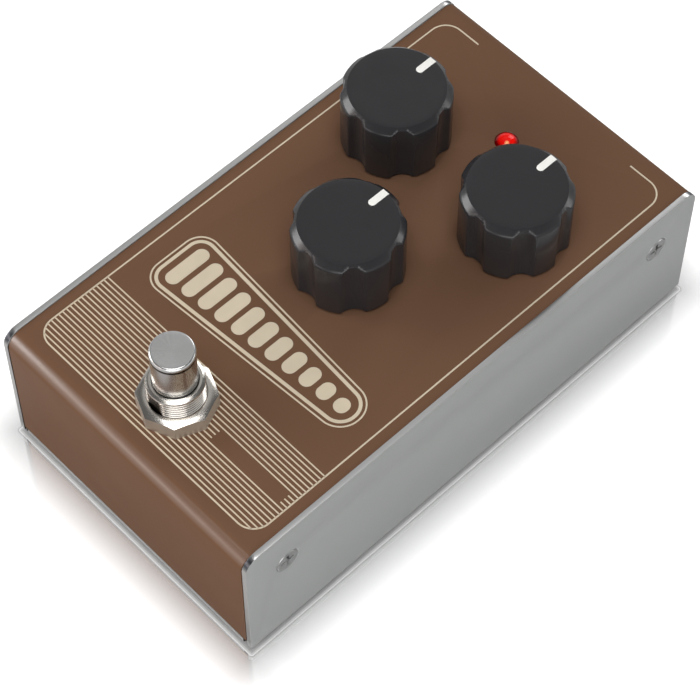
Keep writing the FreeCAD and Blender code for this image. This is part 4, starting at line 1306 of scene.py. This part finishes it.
@dataclass
class Footswitch:
    """The button, its threaded bushing, its return spring and the eight-sided nut on the cover.

    Attributes:
        travel: How far the button goes down; not used.
        rim_share: Height of the rounding at the button's rim, as a share of the rim's height.
        rim_deg: Angles of the rim's corners, from its side to its top.
        foot_drop: How far below the rim's foot the waist ends.
        foot_inset: How far inside the rim its foot lies.
        foot_rise: How far above its foot the rim has its full width.
        face_drop: How far the top has fallen by a bevel's width inside the rim.
        line_height: Height of the painted shade line under the rim.
        line_inset: Depths inside the button's side over which the painted shade line fades out.
        collar: Height of the plain collar over the thread.
        mouth: How far inward and down from the collar's outer top each corner of its rounding lies.
        flat_depth: How deep the flat at the front of the thread is ground.
        groove_share: How far from the ridges the painted shade in the thread ends, as a share of its depth.
    """

    steps: int = 128
    travel: float = 3.0
    button_radius: float = 4.65
    stem_radius: float = 1.8
    flange_radius: float = 5.5
    flange_height: float = 1.5
    waist_depth: float = 0.06
    bevel_width: float = 0.5
    rim_height: float = 0.95
    rim_share: float = 0.85
    rim_deg: tuple[int, ...] = (10, 25, 40, 55, 70, 82, 90)
    foot_drop: float = 0.02
    foot_inset: float = 0.01
    foot_rise: float = 0.08
    face_drop: float = 0.01
    line_height: float = 0.55
    line_inset: tuple[float, float] = (0.05, 0.02)
    dish: float = 0.05
    neck_radius: float = 6.0
    bore: float = 4.72
    base_radius: float = 7.5
    base_height: float = 1.5
    undercut: float = 0.3
    thread_start: float = 0.4
    thread_pitch: float = 0.8
    thread_depth: float = 0.24
    collar: float = 0.85
    collar_lead: float = 0.1
    mouth: tuple[tuple[float, float], ...] = ((0.0, 0.5), (0.08, 0.32), (0.62, 0.03), (0.72, 0.0))
    lead: float = 0.12
    flat_depth: float = 0.4
    groove_share: float = 0.3
    nut_play: float = 0.05
    nut_sides: int = 8
    nut_rim: float = 0.9
    nut_chamfer_deg: float = 25.0

    def __post_init__(self) -> None:
        """Take places and sizes from the CAD."""
        self.centre = floor_point(middle("footswitch_bushing"))
        self.rise = highest("footswitch_bushing").z
        self.top = highest("footswitch_button").z

    def build(self) -> None:
        """Make the button, the bushing, the nut and the spring."""
        self.button()
        self.bushing()
        self.nut()
        self.spring()

    def spring(self) -> None:
        """The return spring, with a mesh of its own."""
        node = "footswitch_spring"
        piece = make_piece(mesh_of(node), "footswitch_return_spring", "bright_steel",
                           replaced=[node])
        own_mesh(piece)

    def button_outline(self) -> list[tuple[float, float]]:
        """Radius and height of the button's corners, from its stem's foot to the middle of its top."""
        radius = self.button_radius
        waist = radius - self.waist_depth
        disc = radius - self.bevel_width
        low = lowest("footswitch_button").z
        flange = highest("footswitch_spring").z
        shoulder = flange + self.flange_height
        foot = self.top - self.rim_height
        rim = []
        for angle in map(math.radians, self.rim_deg):
            drop = self.rim_height * self.rim_share * (1 - math.sin(angle))
            rim.append((disc + self.bevel_width * math.cos(angle), self.top - drop))
        return [
            (0, low), (self.stem_radius, low), (self.stem_radius, flange), (self.flange_radius, flange),
            (self.flange_radius, shoulder), (waist, shoulder), (waist, foot - self.foot_drop),
            (radius - self.foot_inset, foot), (radius, foot + self.foot_rise), *rim,
            (disc - self.bevel_width, self.top - self.face_drop), (0, self.top - self.dish),
        ]

    def button(self) -> None:
        """The plunger with a rounded rim and a turned top."""
        bm = turned(self.button_outline(), self.steps)
        place(bm, self.centre)
        foot = self.top - self.rim_height
        # The dark line under the rim is painted shade.
        finish = Finishes.register(TurnedFinish(
            "button_nickel", (211, 211, 210), metal=True, rough=0.24, rough_spread=0.02, tint=0.04,
            centre_mm=tuple(self.centre), pitch_mm=0.09, mark_mm=0.007, streak=0.03,
            shade_radii_mm=tuple(self.button_radius - inset for inset in self.line_inset),
            painted_shade_colour=(40, 35, 31), span_mm=(foot - self.line_height, foot)))
        make_piece(bm, "footswitch_button_cap", finish, "button_body", ["footswitch_button"])

    def bushing(self) -> None:
        """The neck: a thread with a flat ground on it, and a narrow collar at the top."""
        neck = self.neck_radius
        low = lowest("footswitch_bushing").z
        foot = low + self.base_height
        rise = self.rise
        collar = rise - self.collar
        outline = [(self.bore, low), (self.base_radius, low), (self.base_radius, foot),
                   (neck - self.undercut, foot)]
        outline += thread_outline(neck, foot + self.thread_start, collar, self.thread_pitch,
                                  self.thread_depth)
        outline.append((neck, collar + self.collar_lead))
        outline += [(neck - inward, rise - down) for inward, down in self.mouth]
        outline += [(self.bore + self.lead, rise), (self.bore, rise - self.lead)]
        bm = turned(outline, self.steps, closed=True)
        for vert in bm.verts:
            limit = neck - self.flat_depth + max(0.0, vert.co.z - collar + self.flat_depth)
            if vert.co.z > foot and vert.co.y < -limit:
                vert.co.y = -limit
        place(bm, self.centre)
        # The thread's grooves are darkened with painted shade.
        finish = Finishes.register(TurnedFinish(
            "bushing_nickel", (208, 203, 196), metal=True, rough=0.23, rough_spread=0.02, tint=0.05,
            centre_mm=tuple(self.centre), mark_mm=0.0, painted_shade_colour=(84, 78, 72),
            shade_radii_mm=(neck - self.thread_depth, neck - self.groove_share * self.thread_depth),
            span_mm=(foot, collar)))
        make_piece(bm, "footswitch_bushing_neck", finish, replaced=["footswitch_bushing"])

    def nut(self) -> None:
        """The eight-sided nut on the cover."""
        low = lowest("footswitch_nut")
        high = highest("footswitch_nut")
        nut = Nut("footswitch_nut_top", self.centre + Vector((0, 0, low.z)),
                  (high.x - low.x) * math.cos(math.pi / self.nut_sides), high.z - low.z,
                  self.neck_radius + self.nut_play, sides=self.nut_sides, rim=self.nut_rim,
                  chamfer_deg=self.nut_chamfer_deg)
        finish = Finishes.register(NutFinish("nut_nickel", (214, 209, 202), metal=True, rough=0.22,
                                             tint=0.05, height_mm=0.001))
        make_piece(nut.build(), nut.name, finish, replaced=["footswitch_nut"])


@dataclass
class StatusLight:
    """The low domed light in its hole."""

    steps: int = 64
    rings: int = 10
    radius: float = 2.5
    flange_height: float = 1.0
    edge: float = 0.06

    def build(self) -> None:
        """Make the lens with its flange."""
        node = "status_led"
        centre = floor_point(middle(node))
        low = lowest(node).z
        high = highest(node).z
        rise = high - highest("cover").z
        flange = (highest(node).x - lowest(node).x) / 2
        ball = (self.radius ** 2 + rise ** 2) / (2 * rise)
        widest = math.asin(self.radius / ball)
        shoulder = low + self.flange_height
        outline = [(0, low), (flange, low), (flange, shoulder), (self.radius, shoulder),
                   (self.radius, high - rise - self.edge)]
        for number in range(self.rings):
            angle = widest * (1 - number / self.rings) - self.edge * (number == 0) / ball
            outline.append((ball * math.sin(angle), high - ball + ball * math.cos(angle)))
        outline.append((0, high))
        bm = turned(outline, self.steps)
        place(bm, centre)
        finish = Finishes.register(LensFinish(
            "red_lens", (222, 14, 6), rough=0.05, rough_spread=0.02, tint=0.05, height_mm=0.0, ior=1.3,
            centre_mm=tuple(centre), radius_mm=self.radius))
        make_piece(bm, "status_light_lens", finish, replaced=[node])


@dataclass
class RearPanel:
    """The jacks' noses, washers and nuts, and the power inlet."""

    steps: int = 96
    nut_flats: float = 13.0
    nut_bore: float = 4.8
    washer_bore: float = 4.9
    washer_radius: float = 7.0
    washer_round: float = 0.1
    nose_bore: float = 3.25
    nose_chamfer: float = 0.35
    nose_lead: float = 0.45
    spigot_radius: float = 4.25
    thread_start: float = 0.1
    thread_end: float = 0.5
    thread_pitch: float = 0.7
    thread_depth: float = 0.28
    inlet_round: float = 0.15

    def build(self) -> None:
        """Make every piece that shows on the rear wall."""
        for side in ("input", "output"):
            self.nose(side)
        for side in ("output", "input"):
            last = side == "input"
            self.nut(side, ["jack_nuts"] if last else [])
            self.washer(side, ["jack_washers"] if last else [])
        softened_copy("inlet_housing", "inlet_block", "black_plastic", self.inlet_round)

    def nut(self, side: str, replaced: list[str]) -> None:
        """One jack's nut."""
        low = lowest("jack_nuts").y
        centre = middle(side + "_jack_sleeve")
        nut = Nut(f"{side}_jack_nut", Vector((centre.x, low, centre.z)), self.nut_flats,
                  highest("jack_nuts").y - low, self.nut_bore, Axis.REAR)
        make_piece(nut.build(), nut.name, "nickel", replaced=replaced)

    def washer(self, side: str, replaced: list[str]) -> None:
        """One jack's washer against the wall."""
        wall = highest("cover").y
        centre = middle(side + "_jack_sleeve")
        end = highest("jack_washers").y - wall
        bm = turned([(self.washer_bore, 0), (self.washer_radius, 0), (self.washer_radius, end),
                     (self.washer_bore, end)], self.steps, closed=True)
        soften(bm, self.washer_round)
        place(bm, Vector((centre.x, wall, centre.z)), Axis.REAR)
        make_piece(bm, f"{side}_jack_washer", "zinc", replaced=replaced)

    def nose(self, side: str) -> None:
        """One jack's threaded nose with its bore."""
        node = side + "_jack_sleeve"
        low = lowest(node)
        high = highest(node)
        centre = middle(node)
        radius = (high.x - low.x) / 2
        length = high.y - low.y
        spigot = length - (high.y - highest("cover").y) - SHEET
        outline = [(self.nose_bore, 0), (self.spigot_radius, 0), (self.spigot_radius, spigot),
                   (radius - self.thread_depth, spigot)]
        outline += thread_outline(radius, spigot + self.thread_start, length - self.thread_end,
                                  self.thread_pitch, self.thread_depth)
        outline += [(radius - self.nose_lead, length), (self.nose_bore + self.nose_chamfer, length),
                    (self.nose_bore, length - self.nose_chamfer)]
        bm = turned(outline, self.steps, closed=True)
        place(bm, Vector((centre.x, low.y, centre.z)), Axis.REAR)
        make_piece(bm, f"{side}_jack_nose", "nickel", replaced=[node])


@dataclass
class Internals:
    """The CAD nodes that keep their shape, with their finishes."""

    finishes: dict[str, str] = field(default_factory=lambda: {
        "cover_brackets": "zinc", "clinch_nuts": "zinc", "pot_wafers": "phenolic",
        "pot_terminals": "tinned", "pot_washers": "zinc", "pot_nuts": "nickel",
        "footswitch_washer": "zinc", "footswitch_inner_nut": "nickel", "footswitch_housing": "zinc",
        "footswitch_base": "phenolic", "footswitch_lugs": "brass", "footswitch_bridge": "brass",
        "switch_wires": "wire_black", "wire_header": "nylon",
        "input_jack_housing": "black_plastic", "output_jack_housing": "black_plastic",
        "jack_contacts": "tinned", "inlet_contacts": "tinned", "main_board": "board_green",
        "led_leads": "tinned", "led_spacer": "nylon", "delay_chips": "chip_black",
        "amplifier_chips": "chip_black", "can_capacitors": "can_aluminium", "film_capacitors": "film_blue",
        "resistors": "resistor_tan", "trimmers": "film_blue", "bypass_relay": "relay_white",
    })

    def build(self) -> None:
        """Give every remaining CAD node its finish."""
        for side in SIDES:
            self.finishes["pot_housing_" + side] = "zinc"
            self.finishes["pot_bushing_" + side] = "nickel"
            self.finishes["shaft_" + side] = "bright_steel"
            self.finishes["rotor_" + side] = "black_plastic"
        for node, finish in self.finishes.items():
            dress(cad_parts[node], finish)


def dress(node: bpy.types.Object, finish: str) -> None:
    """Put a finish on a CAD node that keeps its shape."""
    material = Finishes.get(finish)
    if not node.material_slots:
        node.data.materials.append(material)
    for slot in node.material_slots:
        slot.material = material


@dataclass(frozen=True)
class SoftBox:
    """A rectangular lamp that points at the pedal.

    Attributes:
        name: The lamp's name.
        place_m: Where it stands.
        size_m: Its width and height.
        watts: Its power.
        colour: Its light's colour.
        aim_m: Where it points.
    """

    name: str
    place_m: tuple[float, float, float]
    size_m: tuple[float, float]
    watts: float
    colour: tuple[float, float, float] = (1.0, 1.0, 1.0)
    aim_m: tuple[float, float, float] = (0.0, 0.0, 0.02)

    def build(self) -> None:
        """Add the lamp to the scene."""
        light = bpy.data.lights.new(self.name, "AREA")
        light.shape = "RECTANGLE"
        light.size, light.size_y = self.size_m
        light.energy = self.watts
        light.color = self.colour
        lamp = bpy.data.objects.new(self.name, light)
        lamp.location = self.place_m
        aim = Vector(self.aim_m) - Vector(self.place_m)
        lamp.rotation_euler = aim.to_track_quat("-Z", "Y").to_euler()
        bpy.context.scene.collection.objects.link(lamp)


@dataclass
class Studio:
    """The floor, the soft light and the camera.

    Attributes:
        focal_px: Focal length in pixels of the frame.
        frame_px: Width of the frame in pixels.
        sensor_mm: Width of the sensor.
        azimuth_deg: Where the camera stands, from the front towards the right.
        elevation_deg: How high the camera looks down from.
        distance_mm: From the camera to the point that it looks at.
        target_mm: That point, from the middle of the case at floor level.
        floor_size: Width of the floor in metres.
        soft_boxes: Lamps overhead, at the left, behind and in front.
        surround: How bright the surround is by degrees above the horizon.
        card_shade: How much brighter the card opposite the camera is.
        card_deg: Half the angle that the card fills, to where it starts to fade and to where it ends.
        panel_shade: How much brighter the small panel below the card's middle is.
        panel_down_deg: How far its middle is below the card's.
        panel_deg: Half the angle that it fills, in the same way.
        edge_mm: Distance from the case within which the floor is darker, a painted contact shadow.
        contact_shadow_shade: Share of light that the floor returns there.
        shade_stops: Shares of edge_mm between which the floor turns from dark to light.
        floor_shade: Share of light that the floor returns.
        floor_glow: How much brighter the camera sees the floor.
        gap_glow: The same under the case, kept low as painted shadow.
        edge_glow: The same beside the case, kept low as painted shadow.
        glow_stops: Shares of edge_mm at which the glow beside the case starts and ends.
        gap_line_mm: Width of the bright line between the case and the mirror.
        line_fade_mm: Width over which the line turns into the mirror.
        reflection: Share of mirror in the floor beside the case.
        reflection_mm: Distance from the case at which the mirror ends.
        mirror_rough: Roughness of the mirror.
        clip_m: Distance from the camera at which its view starts.
    """

    focal_px: float = 2573.19
    frame_px: float = 700.0
    sensor_mm: float = 36.0
    azimuth_deg: float = 46.2512
    elevation_deg: float = 58.0127
    distance_mm: float = 556.99
    target_mm: tuple[float, float, float] = (-2.358, 0.646, 0.0)
    floor_size: float = 6.0
    soft_boxes: tuple[SoftBox, ...] = (
        SoftBox("top_box", (0.175, -0.167, 0.97), (0.56, 0.56), 5.6),
        SoftBox("left_box", (-0.78, -0.50, 0.29), (0.36, 0.36), 3.2),
        SoftBox("right_box", (-0.27, 0.83, 0.48), (0.36, 0.46), 1.9),
        SoftBox("rim_box", (0.54, 0.82, 0.16), (0.3, 0.2), 0.8),
        SoftBox("front_strip", (-0.383, -0.86, 0.30), (1.0, 0.12), 1.7, (1.0, 0.85, 0.78)),
        SoftBox("fill_box", (0.70, -0.66, 0.20), (0.9, 0.4), 3.4),
    )
    surround: tuple[tuple[float, float], ...] = ((0, 0.9), (12, 0.85), (25, 0.3), (35, 0.11), (90, 0.08))
    card_shade: float = 0.35
    card_deg: tuple[float, float] = (17.0, 30.0)
    panel_shade: float = 0.42
    panel_down_deg: float = 12.0
    panel_deg: tuple[float, float] = (6.0, 9.6)
    edge_mm: float = 1.1
    contact_shadow_shade: float = 0.36
    shade_stops: tuple[float, float] = (0.25, 0.45)
    floor_shade: float = 0.6
    floor_glow: float = 0.65
    gap_glow: float = 0.08
    edge_glow: float = 0.2
    glow_stops: tuple[float, float] = (0.03, 0.7)
    gap_line_mm: float = 0.62
    line_fade_mm: float = 0.05
    reflection: float = 0.76
    reflection_mm: float = 9.7
    mirror_rough: float = 0.03
    clip_m: float = 0.01

    def build(self) -> None:
        """Make the floor, the lamps, the world and the camera."""
        self.floor()
        for soft_box in self.soft_boxes:
            soft_box.build()
        self.world()
        self.camera()

    def floor(self) -> None:
        """A pale floor that mirrors the case a little where it stands."""
        bm = bmesh.new()
        bmesh.ops.create_grid(bm, x_segments=1, y_segments=1, size=self.floor_size / 2)
        mesh = bpy.data.meshes.new("floor")
        bm.to_mesh(mesh)
        bm.free()
        mesh.materials.append(self.floor_material())
        floor = bpy.data.objects.new("floor", mesh)
        bpy.context.scene.collection.objects.link(floor)

    def away_from_case(self, graph: Graph) -> bpy.types.NodeSocket:
        """How far a point of the floor is from the case's outline, and 0 under it."""
        low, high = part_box("chassis")
        centre = (high + low) / 2
        half = (high - low) / 2
        local = graph.vector("SUBTRACT", graph.place(), (centre.x, centre.y, 0.0))
        beyond = graph.vector("SUBTRACT", graph.vector("ABSOLUTE", local), (half.x, half.y, 0.0))
        return graph.vector("LENGTH", graph.vector("MAXIMUM", beyond, (0.0, 0.0, 0.0)), output="Value")

    def floor_material(self) -> bpy.types.Material:
        """The floor's finish: painted contact shadow close to the case, and a fading mirror beyond that."""
        material = bpy.data.materials.new("pale_floor")
        material.use_nodes = True
        graph = Graph(material.node_tree)
        away = self.away_from_case(graph)
        line = self.gap_line_mm * MM
        mirrored = graph.product(graph.ramp(away, 0.0, self.reflection_mm * MM, self.reflection, 0.0),
                                 graph.ramp(away, line, line + self.line_fade_mm * MM))
        # Painted contact shadow: close to the case the floor returns less light and glows less.
        close = graph.math("DIVIDE", away, self.edge_mm * MM, clamp=True)
        dark_end, light_start = self.shade_stops
        shade = graph.gradient(close, [(0.0, self.contact_shadow_shade), (dark_end, self.contact_shadow_shade),
                                       (light_start, self.floor_shade), (1.0, self.floor_shade)])
        beside_start, beside_end = self.glow_stops
        lit = graph.gradient(close, [(0.0, self.gap_glow), (beside_start, self.edge_glow),
                                     (beside_end, self.edge_glow), (1.0, self.floor_glow)])
        seen = graph.add("LightPath").outputs["Is Camera Ray"]
        diffuse = graph.add("BsdfDiffuse", {"Color": shade})
        glow = graph.add("Emission", {"Color": (1, 1, 1, 1), "Strength": graph.product(seen, lit)})
        base = graph.add("AddShader", {0: diffuse.outputs[0], 1: glow.outputs[0]})
        mirror = graph.add("BsdfGlossy", {"Color": (1, 1, 1, 1), "Roughness": self.mirror_rough})
        mixed = graph.add("MixShader", {0: mirrored, 1: base.outputs[0], 2: mirror.outputs[0]})
        output = graph.add("OutputMaterial")
        graph.feed(output.inputs["Surface"], mixed.outputs[0])
        return material

    def world(self) -> None:
        """A surround that is pale at the horizon and dark above it, with a soft card opposite the camera."""
        world = bpy.data.worlds.new("studio")
        world.use_nodes = True
        graph = Graph(world.node_tree)
        direction = graph.add("TexCoord").outputs["Generated"]
        _, _, up = graph.split(direction)
        stops = [(math.sin(math.radians(height_deg)), shade) for height_deg, shade in self.surround]
        shade = graph.gradient(up, stops)
        card = self.card(graph, direction, self.elevation_deg, self.card_deg, self.card_shade)
        panel = self.card(graph, direction, self.elevation_deg - self.panel_down_deg, self.panel_deg,
                          self.panel_shade)
        strength = graph.math("ADD", shade, graph.math("ADD", card, panel))
        background = graph.add("Background", {"Color": (1, 1, 1, 1), "Strength": strength})
        output = graph.add("OutputWorld")
        graph.feed(output.inputs["Surface"], background.outputs[0])
        bpy.context.scene.world = world

    def card(self, graph: Graph, direction: bpy.types.NodeSocket, height_deg: float,
             reach_deg: tuple[float, float], shade: float) -> bpy.types.NodeSocket:
        """How much brighter a round card on the side away from the camera makes a direction.

        Args:
            graph: The world's graph.
            direction: The direction that is looked in.
            height_deg: How high the card's middle is.
            reach_deg: Half the angle that it fills, to where it starts to fade and to where it ends.
            shade: How bright it is.

        Returns:
            The brightness that it adds.
        """
        back = self.back(height_deg)
        facing = graph.vector("DOT_PRODUCT", direction, (-back.x, -back.y, back.z), output="Value")
        inner, outer = (math.cos(math.radians(angle)) for angle in reach_deg)
        return graph.ramp(facing, outer, inner, 0.0, shade)

    def back(self, height_deg: float) -> Vector:
        """The direction on the camera's side at a height above the horizon."""
        azimuth = math.radians(self.azimuth_deg)
        elevation = math.radians(height_deg)
        return Vector((math.sin(azimuth) * math.cos(elevation), -math.cos(azimuth) * math.cos(elevation),
                       math.sin(elevation)))

    def camera(self) -> None:
        """The camera at the photograph's place."""
        target = Vector(self.target_mm) + Vector((0, middle("cover").y, 0))
        data = bpy.data.cameras.new("camera")
        data.sensor_width = self.sensor_mm
        data.lens = self.focal_px / self.frame_px * self.sensor_mm
        data.clip_start = self.clip_m
        camera = bpy.data.objects.new("camera", data)
        back = self.back(self.elevation_deg)
        camera.location = (target + back * self.distance_mm) * MM
        camera.rotation_euler = (-back).to_track_quat("-Z", "Y").to_euler()
        bpy.context.scene.collection.objects.link(camera)
        bpy.context.scene.camera = camera


class Assembly(Protocol):
    """What main builds: a part of the pedal, or its studio."""

    def build(self) -> None:
        """Make its pieces."""


def main() -> None:
    """Build every sub-assembly in order, then the studio."""
    logging.basicConfig(level=logging.INFO, format="%(name)s %(message)s")
    bpy.context.scene.view_settings.view_transform = "Standard"
    parts: list[Assembly] = [Case(), *[Knob(side) for side in SIDES], Footswitch(), StatusLight(),
                             RearPanel(), Internals(), Studio()]
    for part in parts:
        part.build()


if __name__ == "__main__":
    main()
